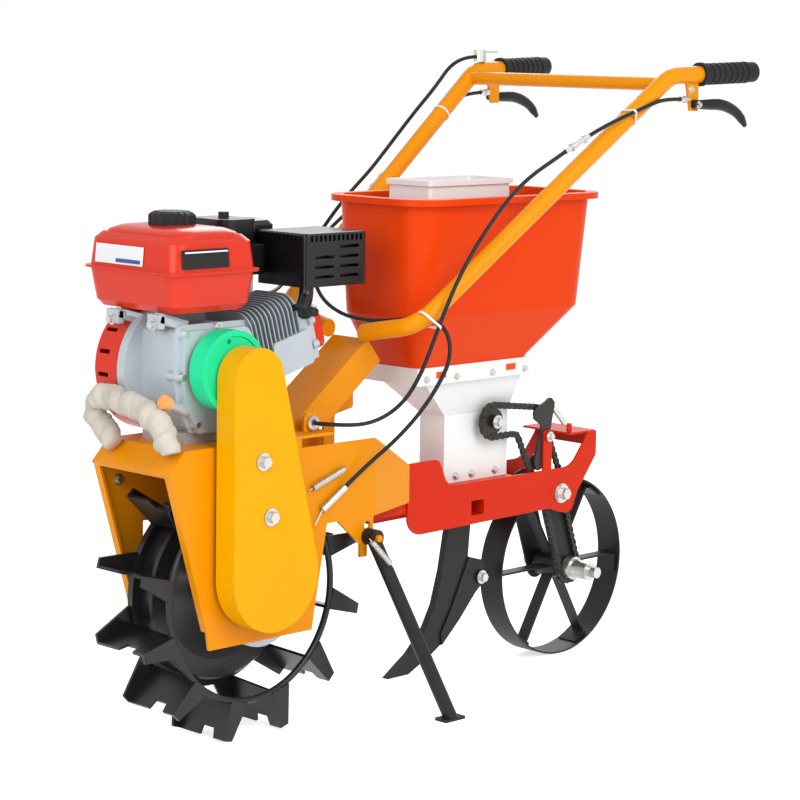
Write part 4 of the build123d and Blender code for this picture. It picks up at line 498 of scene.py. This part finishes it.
# Hopper: one rotationally moulded red tub with a lip round its rim. A white insert stands in it
# and keeps the fertiliser apart from the seed.
tub_plastic = coating(
    "tub_plastic", (0.78, 0.052, 0.0), 0.34, grain=0.006, cloud=0.04, shine=0.12
)
insert_plastic = coating("insert_plastic", (0.85, 0.85, 0.84), 0.5, cloud=0.02)
dress(tub_plastic, "hopper")
insert_tub = stacked(
    "insert_tub",
    [(-394, -626, -50, 50, 571, 6), (-410, -610, -51, 51, 878, 6), (-405, -615, -56, 56, 879, 8),
     (-405, -615, -56, 56, 888, 8), (-413, -607, -48, 48, 888, 5), (-413, -607, -48, 48, 876, 5),
     (-397, -623, -47, 47, 574, 4)],
    insert_plastic,
)
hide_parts("hopper_insert")

# Hopper tray and metering box: folded steel sheet under the hopper, welded and painted white.
# Bolts close both on the left, and the tray has two small tags in the hopper's colour.
white_coat = coating("white_coat", (0.87, 0.9, 0.89), 0.32, cloud=0.02)
tag_red = coating("tag_red", (0.75, 0.08, 0.005), 0.4)
dress(white_coat, "hopper_tray", "metering_box")
for name, x in (("front", -414), ("rear", -590)):
    plate("tray_tag_" + name, from_axle(x, 68.4, 552), Vector((-0.024, 0, 0)),
          Vector((0, 0, 0.011)), sheet, tag_red)
box_face, box_row = 30, 368
tray_face, tray_row = 66.6, 551
bolts("metering_bolts", [(x, box_face, box_row) for x in (-506, -546, -606)], "left", 0.0048)
bolts("tray_bolts", [(x, tray_face, tray_row) for x in (-392, -466, -556, -640)], "left", 0.0042)

# Seed frame: a square steel tube crosses between its two plates, coated red with them. It is
# open at its ends, so its four walls stand inside the window of the near plate.
tube_x, tube_z, half_length, half_height, wall = -530, 313, 18, 15, 2
tube_right = -58
tube_across = Vector((0, 0.116, 0))
for name, z in (("low", tube_z - half_height), ("high", tube_z + half_height)):
    plate("window_" + name, from_axle(tube_x + half_length, tube_right, z - wall / 2),
          tube_across, Vector((-0.036, 0, 0)), 0.002, red_coat)
for name, x in (("front", tube_x + half_length - wall), ("rear", tube_x - half_length)):
    plate("window_" + name, from_axle(x, tube_right, tube_z - half_height),
          tube_across, Vector((0, 0, 0.03)), 0.002, red_coat)

# Handlebar fittings: black rubber grips pushed on the bent tubes, and a pressed steel lever
# under each. A lever turns on one bolt and is clamped by a second, and a turned stop holds the
# end of its cable's sleeve.
grip_rubber = coating("grip_rubber", (0.014, 0.014, 0.014), 0.6, grain=0.0015, bump=0.3)
black_coat = coating("black_coat", (0.008, 0.008, 0.009), 0.34, grain=0.004)
dress(grip_rubber, "grip_left", "grip_right")


def paddle(share, turn):
    """Oval section of a lever's blade, deeper in its middle and thin at its tip."""
    depth = 0.95 + 0.35 * math.sin(math.pi * share)
    return depth * min(1, 0.6 + 5 * (1 - share)) / math.hypot(math.cos(turn) * 1.2, math.sin(turn))


stop_profile = [(0, 0.0065), (0.5, 0.0065), (0.5, 0.0052), (1, 0.0052)]
blade_route = (
    (-867, 247, 1020), (-885, 247, 1019), (-910, 248, 1019), (-942, 250, 1019),
    (-974, 251, 1010), (-998, 252, 996), (-1011, 252, 980),
)
for hand, side in (("left", 1), ("right", -1)):
    blade = tube_along(
        [from_axle(x, side * y, z) for x, y, z in blade_route],
        0.0078, 24, paddle, 10, Vector((0, 0, 1)),
    )
    lever = piece_of(blade, "lever_paddle_" + hand, black_coat, smooth=True)
    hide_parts("lever_" + hand)
    bolts("lever_pins_" + hand, [(-876, side * 252, 1018.6), (-866, side * 241.5, 1045)], hand,
          0.0042)
    turned("cable_stop_" + hand, from_axle(-858, side * 239.7, 1028),
           from_axle(-838, side * 240, 1028.5), stop_profile, bright_steel)

# Control cables: steel wire in a black plastic sleeve, from the two levers and the throttle.
# Each is held at both ends, by its stop at the handle and at the part it works, and hangs
# between them in one smooth sweep. The routes are in metres, in the machine's own frame.
clutch_route = (
    (-0.4516, 0.2397, 1.0280), (-0.3950, 0.2430, 1.0301), (-0.3391, 0.2471, 1.0165),
    (-0.2840, 0.2419, 0.9992), (-0.2310, 0.2369, 0.9798), (-0.1795, 0.2308, 0.9557),
    (-0.1301, 0.2233, 0.9290), (-0.0808, 0.2151, 0.9022), (-0.0365, 0.2093, 0.8677),
    (0.0034, 0.2058, 0.8263), (0.0404, 0.2031, 0.7833), (0.0738, 0.2015, 0.7377),
    (0.1007, 0.1988, 0.6879), (0.1181, 0.1894, 0.6345), (0.1290, 0.1732, 0.5810),
    (0.1478, 0.1525, 0.5328), (0.1921, 0.1340, 0.5040), (0.2465, 0.1175, 0.5014),
    (0.2741, 0.0743, 0.5040),
)
brake_route = (
    (-0.4516, -0.2397, 1.0280), (-0.3942, -0.2424, 1.0261), (-0.3410, -0.2452, 1.0002),
    (-0.2925, -0.2411, 0.9681), (-0.2475, -0.2380, 0.9321), (-0.1997, -0.2325, 0.8986),
    (-0.1526, -0.2260, 0.8652), (-0.1041, -0.2184, 0.8330), (-0.0522, -0.2098, 0.8090),
    (-0.0010, -0.1967, 0.7838), (0.0447, -0.1768, 0.7541), (0.0755, -0.1469, 0.7150),
    (0.0918, -0.1039, 0.6797), (0.0980, -0.0500, 0.6601), (0.0987, 0.0081, 0.6544),
    (0.0973, 0.0662, 0.6589), (0.0918, 0.1229, 0.6696), (0.0761, 0.1769, 0.6620),
    (0.0761, 0.1934, 0.6109), (0.0939, 0.1779, 0.5579), (0.1164, 0.1552, 0.5093),
    (0.1417, 0.1263, 0.4658), (0.1860, 0.1067, 0.4279), (0.2311, 0.1040, 0.3970),
)
throttle_route = (
    (-0.4186, -0.2343, 1.0940), (-0.3670, -0.2343, 1.0940), (-0.3183, -0.2454, 1.0337),
    (-0.2711, -0.2400, 0.9987), (-0.2239, -0.2322, 0.9632), (-0.1774, -0.2250, 0.9269),
    (-0.1309, -0.2178, 0.8911), (-0.0815, -0.2117, 0.8584), (-0.0343, -0.2055, 0.8237),
    (0.0107, -0.1988, 0.7847), (0.0550, -0.1914, 0.7469), (0.1022, -0.1791, 0.7134),
    (0.1524, -0.1526, 0.6968), (0.2003, -0.1176, 0.6976), (0.2504, -0.0760, 0.7000),
    (0.3078, -0.0760, 0.7000),
)
sleeve_radius = 0.0035
cable_sleeve = coating("cable_sleeve", (0.01, 0.01, 0.01), 0.4, grain=0.003, bump=0.05)
for node, route in (
    ("clutch_cable", clutch_route), ("brake_cable", brake_route),
    ("throttle_cable", throttle_route),
):
    curve = bpy.data.curves.new(node + "_sleeve", "CURVE")
    curve.dimensions = "3D"
    spline = curve.splines.new("NURBS")
    spline.points.add(len(route) - 1)
    for knot, point in zip(spline.points, route):
        knot.co = (*point, 1)
    spline.order_u = 3
    spline.use_endpoint_u = True
    spline.resolution_u = 8
    curve.bevel_depth = sleeve_radius
    curve.bevel_resolution = 3
    curve.use_fill_caps = True
    curve.materials.append(cable_sleeve)
    piece = bpy.data.objects.new(node + "_sleeve", curve)
    bpy.context.scene.collection.objects.link(piece)
    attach(piece, "frame")
    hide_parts(node)

# Cable ties: three white nylon bands that bind the cables to the handlebar's tubes, each drawn
# tight round both. Two are on the near tube and one is high on the far tube.
tie_white = coating("tie_white", (0.8, 0.8, 0.78), 0.5, bump=0.02)
near_tube = (from_axle(-272, 164, 662), from_axle(-817, 234, 1069))
far_tube = (from_axle(-272, -164, 662), from_axle(-817, -234, 1069))
tube_radius, band_radius, band_steps = 0.015, 0.0152, 64
band_section = ((0, -0.002), (0.0013, -0.002), (0.0013, 0.002), (0, 0.002))
for name, route, knot, (tube_start, tube_end) in (
    ("tie_upper", clutch_route, 2, near_tube), ("tie_lower", clutch_route, 12, near_tube),
    ("tie_far", brake_route, 2, far_tube),
):
    held = (Vector(route[knot]) + Vector(route[knot + 1])) / 2
    along = (tube_end - tube_start).normalized()
    centre = tube_start + along * along.dot(held - tube_start)
    toward = (held - centre).normalized()
    across = along.cross(toward)
    shape = bmesh.new()
    rings = []
    for k in range(band_steps):
        a = 2 * math.pi * k / band_steps
        out = toward * math.cos(a) + across * math.sin(a)
        on_cable = (held - centre).dot(out) + sleeve_radius > tube_radius
        edge = held + out * sleeve_radius if on_cable else centre + out * band_radius
        rings.append([
            shape.verts.new(edge + out * lift + along * shift) for lift, shift in band_section
        ])
    skin(shape, rings, endless=True)
    piece_of(shape, name, tie_white)

# Cable adjusters: turned steel barrels, about a quarter of the way down the clutch and brake
# cables. Each has a nut at both ends, which locks the cable's length.
barrel_profile = [
    (0, 0.0048), (0.1, 0.0048), (0.1, 0.0068), (0.22, 0.0068), (0.22, 0.0055),
    (0.62, 0.0055), (0.62, 0.0068), (0.74, 0.0068), (0.74, 0.0046), (1, 0.0046),
]
for name, route, knot in (("near", clutch_route, 4), ("far", brake_route, 5)):
    start = (Vector(route[knot]) + Vector(route[knot + 1])) / 2
    end = (Vector(route[knot + 1]) + Vector(route[knot + 2])) / 2
    turned("cable_barrel_" + name, start, end, barrel_profile, bright_steel)

# Drive chains: half-inch roller chains and their sprockets in oiled steel, with the arm that
# keeps the metering chain tight. Each pitch has round link ends riveted over a pin, and a tree
# sets them along the loop that the chain makes.
oiled_steel = coating(
    "oiled_steel", (0.05, 0.047, 0.043), 0.42, metallic=0.7, grain=0.003, cloud=0.2, bump=0.2
)
dress(oiled_steel, "metering_sprocket", "metering_chain", "arm_chain", "tensioner_arm")


def link_tree(material):
    tree = bpy.data.node_groups.new("link_ends", "GeometryNodeTree")
    face = tree.interface
    face.new_socket(name="Loop", in_out="INPUT", socket_type="NodeSocketGeometry")
    sizes = {}
    for name in ("Plate radius", "Plate width", "Pin radius", "Pin length"):
        sizes[name] = face.new_socket(name=name, in_out="INPUT", socket_type="NodeSocketFloat")
    sizes["Pitches"] = face.new_socket(
        name="Pitches", in_out="INPUT", socket_type="NodeSocketInt"
    )
    face.new_socket(name="Chain", in_out="OUTPUT", socket_type="NodeSocketGeometry")
    nodes, links = tree.nodes, tree.links
    given = nodes.new("NodeGroupInput")
    line = nodes.new("GeometryNodeMeshToCurve")
    links.new(given.outputs["Loop"], line.inputs[0])
    spaced = nodes.new("GeometryNodeResampleCurve")
    links.new(line.outputs[0], spaced.inputs["Curve"])
    links.new(given.outputs["Pitches"], spaced.inputs["Count"])
    joined = nodes.new("GeometryNodeJoinGeometry")
    for sides, radius, depth in (
        (12, "Plate radius", "Plate width"), (8, "Pin radius", "Pin length"),
    ):
        solid = nodes.new("GeometryNodeMeshCylinder")
        solid.inputs["Vertices"].default_value = sides
        links.new(given.outputs[radius], solid.inputs["Radius"])
        links.new(given.outputs[depth], solid.inputs["Depth"])
        links.new(solid.outputs["Mesh"], joined.inputs[0])
    spread = nodes.new("GeometryNodeInstanceOnPoints")
    spread.inputs["Rotation"].default_value = (math.pi / 2, 0, 0)
    links.new(spaced.outputs[0], spread.inputs["Points"])
    links.new(joined.outputs[0], spread.inputs["Instance"])
    real = nodes.new("GeometryNodeRealizeInstances")
    links.new(spread.outputs[0], real.inputs[0])
    oiled = nodes.new("GeometryNodeSetMaterial")
    oiled.inputs["Material"].default_value = material
    links.new(real.outputs[0], oiled.inputs["Geometry"])
    done = nodes.new("NodeGroupOutput")
    links.new(oiled.outputs[0], done.inputs[0])
    return tree, sizes


link_ends, link_sizes = link_tree(oiled_steel)
chain_pitch = 12.7
link_radius, link_width, pin_radius, pin_ends = 0.0064, 0.0058, 0.0021, 0.0012


def chain_loop(wheels):
    """Loop round wheels of x, z, pitch radius and turn, 1 inside the loop and -1 outside."""
    runs = []
    for k, (x, z, radius, turn) in enumerate(wheels):
        next_x, next_z, next_radius, next_turn = wheels[(k + 1) % len(wheels)]
        near, far = radius * turn, next_radius * next_turn
        angle = math.atan2(next_z - z, next_x - x)
        angle += math.asin((near - far) / math.hypot(next_x - x, next_z - z))
        side = (math.sin(angle), -math.cos(angle))
        runs.append(((x + near * side[0], z + near * side[1]),
                     (next_x + far * side[0], next_z + far * side[1]), angle))
    points = []
    for k, (start, end, angle) in enumerate(runs):
        x, z, radius, turn = wheels[(k + 1) % len(wheels)]
        following = runs[(k + 1) % len(runs)][2]
        sweep = turn * ((turn * (following - angle)) % (2 * math.pi))
        points += [start, end]
        steps = max(2, round(abs(sweep) / 0.12))
        for step in range(1, steps):
            a = angle + sweep * step / steps
            points.append((x + radius * turn * math.sin(a), z - radius * turn * math.cos(a)))
    return points


def pitch_radius(teeth):
    return chain_pitch / (2 * math.sin(math.pi / teeth))


def chain(name, wheels, lane):
    """Links on a loop of wheels, as many as fit its length, with an even number of pitches."""
    points = chain_loop(wheels)
    length = sum(math.dist(a, b) for a, b in zip(points, points[1:] + points[:1]))
    places = [from_axle(x, lane, z) for x, z in points]
    edges = [(k, (k + 1) % len(places)) for k in range(len(places))]
    inputs = [
        (link_sizes["Plate radius"], link_radius),
        (link_sizes["Plate width"], link_width),
        (link_sizes["Pin radius"], pin_radius),
        (link_sizes["Pin length"], link_width + pin_ends),
        (link_sizes["Pitches"], 2 * round(length / chain_pitch / 2)),
    ]
    piece = grown(name, places, edges, link_ends, inputs)
    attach(piece, "frame")


sprocket_at, pivot_at, wheel_at = (-579, 460), (-749, 313), (-800, 165.4)
chain("metering_links", (
    (*sprocket_at, pitch_radius(14), 1), (-691, 463, 12, 1), (*pivot_at, pitch_radius(12), 1),
    (-691, 376, pitch_radius(9), 1), (-632, 417, 15, -1),
), 50)
chain("arm_links", (
    (*pivot_at, pitch_radius(12), 1), (*wheel_at, pitch_radius(12), 1),
), 42)

# Nuts on the seed drive and the seed frame: zinc plated like the bolts, on the metering
# sprocket, the pivot shaft, the tab of the near plate and the opener's boot.
near_plate_face = 66.6
bolts("sprocket_nut", [(sprocket_at[0], 59.8, sprocket_at[1])], "left", 0.0078)
bolts("pivot_nut", [(pivot_at[0], near_plate_face, pivot_at[1])], "left", 0.0105)
bolts("tab_bolt", [(-712, near_plate_face, 421)], "left", 0.006)
bolts("boot_nut", [(-596, 13.4, 171)], "left", 0.008)


# Coil springs: bright wire wound close, with a straight end that hooks on at each side. They
# pull the clutch, the chain tensioner and the stand.
def spring_tree(material):
    tree = bpy.data.node_groups.new("coil_spring", "GeometryNodeTree")
    face = tree.interface
    face.new_socket(name="Ends", in_out="INPUT", socket_type="NodeSocketGeometry")
    sizes = {}
    for name, kind in (
        ("Coil radius", "NodeSocketFloat"), ("Wire radius", "NodeSocketFloat"),
        ("Coil length", "NodeSocketFloat"), ("Turns", "NodeSocketFloat"),
        ("Start", "NodeSocketVector"), ("Turn", "NodeSocketVector"),
    ):
        sizes[name] = face.new_socket(name=name, in_out="INPUT", socket_type=kind)
    face.new_socket(name="Spring", in_out="OUTPUT", socket_type="NodeSocketGeometry")
    nodes, links = tree.nodes, tree.links
    given = nodes.new("NodeGroupInput")
    spiral = nodes.new("GeometryNodeCurveSpiral")
    spiral.inputs["Resolution"].default_value = 20
    links.new(given.outputs["Turns"], spiral.inputs["Rotations"])
    links.new(given.outputs["Coil radius"], spiral.inputs["Start Radius"])
    links.new(given.outputs["Coil radius"], spiral.inputs["End Radius"])
    links.new(given.outputs["Coil length"], spiral.inputs["Height"])
    placed = nodes.new("GeometryNodeTransform")
    links.new(spiral.outputs[0], placed.inputs["Geometry"])
    links.new(given.outputs["Start"], placed.inputs["Translation"])
    links.new(given.outputs["Turn"], placed.inputs["Rotation"])
    ends = nodes.new("GeometryNodeMeshToCurve")
    links.new(given.outputs["Ends"], ends.inputs[0])
    lines = nodes.new("GeometryNodeJoinGeometry")
    links.new(placed.outputs[0], lines.inputs[0])
    links.new(ends.outputs[0], lines.inputs[0])
    section = nodes.new("GeometryNodeCurvePrimitiveCircle")
    section.inputs["Resolution"].default_value = 8
    links.new(given.outputs["Wire radius"], section.inputs["Radius"])
    wire = nodes.new("GeometryNodeCurveToMesh")
    wire.inputs["Fill Caps"].default_value = True
    links.new(lines.outputs[0], wire.inputs["Curve"])
    links.new(section.outputs[0], wire.inputs["Profile Curve"])
    real = nodes.new("GeometryNodeRealizeInstances")
    links.new(wire.outputs[0], real.inputs[0])
    plated = nodes.new("GeometryNodeSetMaterial")
    plated.inputs["Material"].default_value = material
    links.new(real.outputs[0], plated.inputs["Geometry"])
    done = nodes.new("NodeGroupOutput")
    links.new(plated.outputs[0], done.inputs[0])
    return tree, sizes


coil_spring, spring_sizes = spring_tree(bright_steel)
lead_share, coil_pitch = 1.6, 2.25


def spring(node, start, end, radius, wire, body, hooks=()):
    """Close coil between two straight leads, which run on from it to the start and the end."""
    run = end - start
    lead = run.normalized() * radius * lead_share
    first, last = start + lead, end - lead
    turn = (last - first).to_track_quat("Z", "Y").to_euler()
    length = (last - first).length
    points = [start, first, end, last] + [p for pair in hooks for p in pair]
    edges = [(k, k + 1) for k in range(0, len(points), 2)]
    inputs = [
        (spring_sizes["Coil radius"], radius - wire),
        (spring_sizes["Wire radius"], wire),
        (spring_sizes["Coil length"], length),
        (spring_sizes["Turns"], length / (coil_pitch * wire)),
        (spring_sizes["Start"], first),
        (spring_sizes["Turn"], turn),
    ]
    piece = grown(node + "_coil", points, edges, coil_spring, inputs)
    for face in piece.data.polygons:
        face.use_smooth = True
    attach(piece, body)
    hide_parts(node)


hook_face, coil_lane = 95.3, 100.8
clutch_ends = ((-90, 400), (-174, 429))
front_end, rear_end = (from_axle(x, coil_lane, z) for x, z in clutch_ends)
spring("clutch_spring", front_end, rear_end, 0.0055, 0.0011, "frame", [
    (from_axle(x, hook_face, z), from_axle(x, coil_lane, z)) for x, z in clutch_ends
])
tension_low, tension_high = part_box("tensioner_spring")
spring(
    "tensioner_spring",
    Vector((tension_high.x - 0.0022, tension_high.y - 0.003, tension_high.z - 0.0022)),
    Vector((tension_low.x + 0.002, tension_low.y + 0.0025, tension_low.z + 0.0022)),
    0.005, 0.001, "frame",
)
stand_low, stand_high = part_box("stand_spring")
spring(
    "stand_spring", from_axle(-198, 131, 311),
    Vector((stand_low.x + 0.003, stand_high.y - 0.0035, stand_low.z + 0.003)),
    0.005, 0.001, "stand",
)

# Ground wheel, its arms, the opener and the stand: steel bar and plate, cut, bent and welded,
# and painted black. They run in the soil, so dust dulls the coat in patches.
dusty_black = coating("dusty_black", (0.014, 0.014, 0.014), 0.42, grain=0.003, cloud=0.2)
dress(
    dusty_black,
    "ground_wheel_rim", "wheel_arm_left", "wheel_arm_right", "opener_shank", "opener_boot",
    "stand_leg",
)

# Studio: a matt white floor that runs out of sight on every side. Where the camera or a
# reflection sees it, it glows a little, so that it shows white and still takes a shadow.
floor_reach = 14
floor_mesh = bpy.data.meshes.new("floor")
floor_mesh.from_pydata(
    [(-floor_reach, -floor_reach, 0), (floor_reach, -floor_reach, 0),
     (floor_reach, floor_reach, 0), (-floor_reach, floor_reach, 0)], [], [(0, 1, 2, 3)]
)
floor = bpy.data.objects.new("floor", floor_mesh)
bpy.context.scene.collection.objects.link(floor)


def seen_directly(nodes, links):
    """1 where the camera, a reflection or glass shows the surface, 0 for its light."""
    path = nodes.new("ShaderNodeLightPath")
    either = nodes.new("ShaderNodeMath")
    either.operation = "MAXIMUM"
    links.new(path.outputs["Is Camera Ray"], either.inputs[0])
    links.new(path.outputs["Is Glossy Ray"], either.inputs[1])
    any_of = nodes.new("ShaderNodeMath")
    any_of.operation = "MAXIMUM"
    links.new(either.outputs[0], any_of.inputs[0])
    links.new(path.outputs["Is Transmission Ray"], any_of.inputs[1])
    return any_of.outputs[0]


paper = bpy.data.materials.new("paper")
paper.use_nodes = True
nodes, links = paper.node_tree.nodes, paper.node_tree.links
matt = nodes["Principled BSDF"]
matt.inputs["Base Color"].default_value = (0.9, 0.9, 0.9, 1)
matt.inputs["Roughness"].default_value = 1
glow = nodes.new("ShaderNodeEmission")
glow.inputs["Color"].default_value = (1, 1, 1, 1)
glow.inputs["Strength"].default_value = 0.62
both = nodes.new("ShaderNodeAddShader")
links.new(matt.outputs[0], both.inputs[0])
links.new(glow.outputs[0], both.inputs[1])
blend = nodes.new("ShaderNodeMixShader")
links.new(seen_directly(nodes, links), blend.inputs["Fac"])
links.new(matt.outputs[0], blend.inputs[1])
links.new(both.outputs[0], blend.inputs[2])
links.new(blend.outputs[0], nodes["Material Output"].inputs["Surface"])
floor_mesh.materials.append(paper)

# Background and room light: white where it is seen, and half as strong where it lights the
# machine, so that pale coats keep their colour.
world = bpy.data.worlds.new("studio")
bpy.context.scene.world = world
world.use_nodes = True
nodes, links = world.node_tree.nodes, world.node_tree.links
ambient = nodes["Background"]
ambient.inputs["Color"].default_value = (1, 1, 1, 1)
ambient.inputs["Strength"].default_value = 0.5
white = nodes.new("ShaderNodeBackground")
white.inputs["Color"].default_value = (1, 1, 1, 1)
white.inputs["Strength"].default_value = 1
mixed = nodes.new("ShaderNodeMixShader")
links.new(seen_directly(nodes, links), mixed.inputs["Fac"])
links.new(ambient.outputs[0], mixed.inputs[1])
links.new(white.outputs[0], mixed.inputs[2])
links.new(mixed.outputs[0], nodes["World Output"].inputs["Surface"])

# Lamps: three soft square panels, one on the machine's left, one in front of it and one high
# behind it, all turned to its middle.
aim = Vector((0, 0, 0.5))
for name, place, size, power in (
    ("key_lamp", (0.6, 3.4, 2.6), 2.4, 86),
    ("fill_lamp", (3.6, 1.0, 1.8), 2.4, 54),
    ("back_lamp", (-2.8, -2.4, 3.0), 2.2, 55),
):
    data = bpy.data.lights.new(name, "AREA")
    data.size = size
    data.energy = power
    lamp = bpy.data.objects.new(name, data)
    lamp.location = place
    lamp.rotation_euler = (aim - Vector(place)).to_track_quat("-Z", "Y").to_euler()
    bpy.context.scene.collection.objects.link(lamp)

# Camera: a long lens well off the machine's left front corner, a little higher than its handle
# and looking down on it, with a slight roll. Colours are shown as they are, with no curve.
yaw, pitch, roll = (math.radians(angle) for angle in (45.025, 8.224, 0.879))
back = Vector(
    (math.sin(yaw) * math.cos(pitch), math.cos(yaw) * math.cos(pitch), math.sin(pitch))
)
right = (-back).cross(Vector((0, 0, 1))).normalized()
up = right.cross(-back)
right, up = (
    right * math.cos(roll) + up * math.sin(roll), up * math.cos(roll) - right * math.sin(roll)
)
lens = bpy.data.cameras.new("camera")
lens.sensor_width = 36
lens.lens = 113.9
camera = bpy.data.objects.new("camera", lens)
stance = Matrix((right, up, back)).transposed().to_4x4()
camera.matrix_world = Matrix.Translation((3.0619, 3.0566, 1.1339)) @ stance
bpy.context.scene.collection.objects.link(camera)
bpy.context.scene.camera = camera
bpy.context.scene.view_settings.view_transform = "Standard"
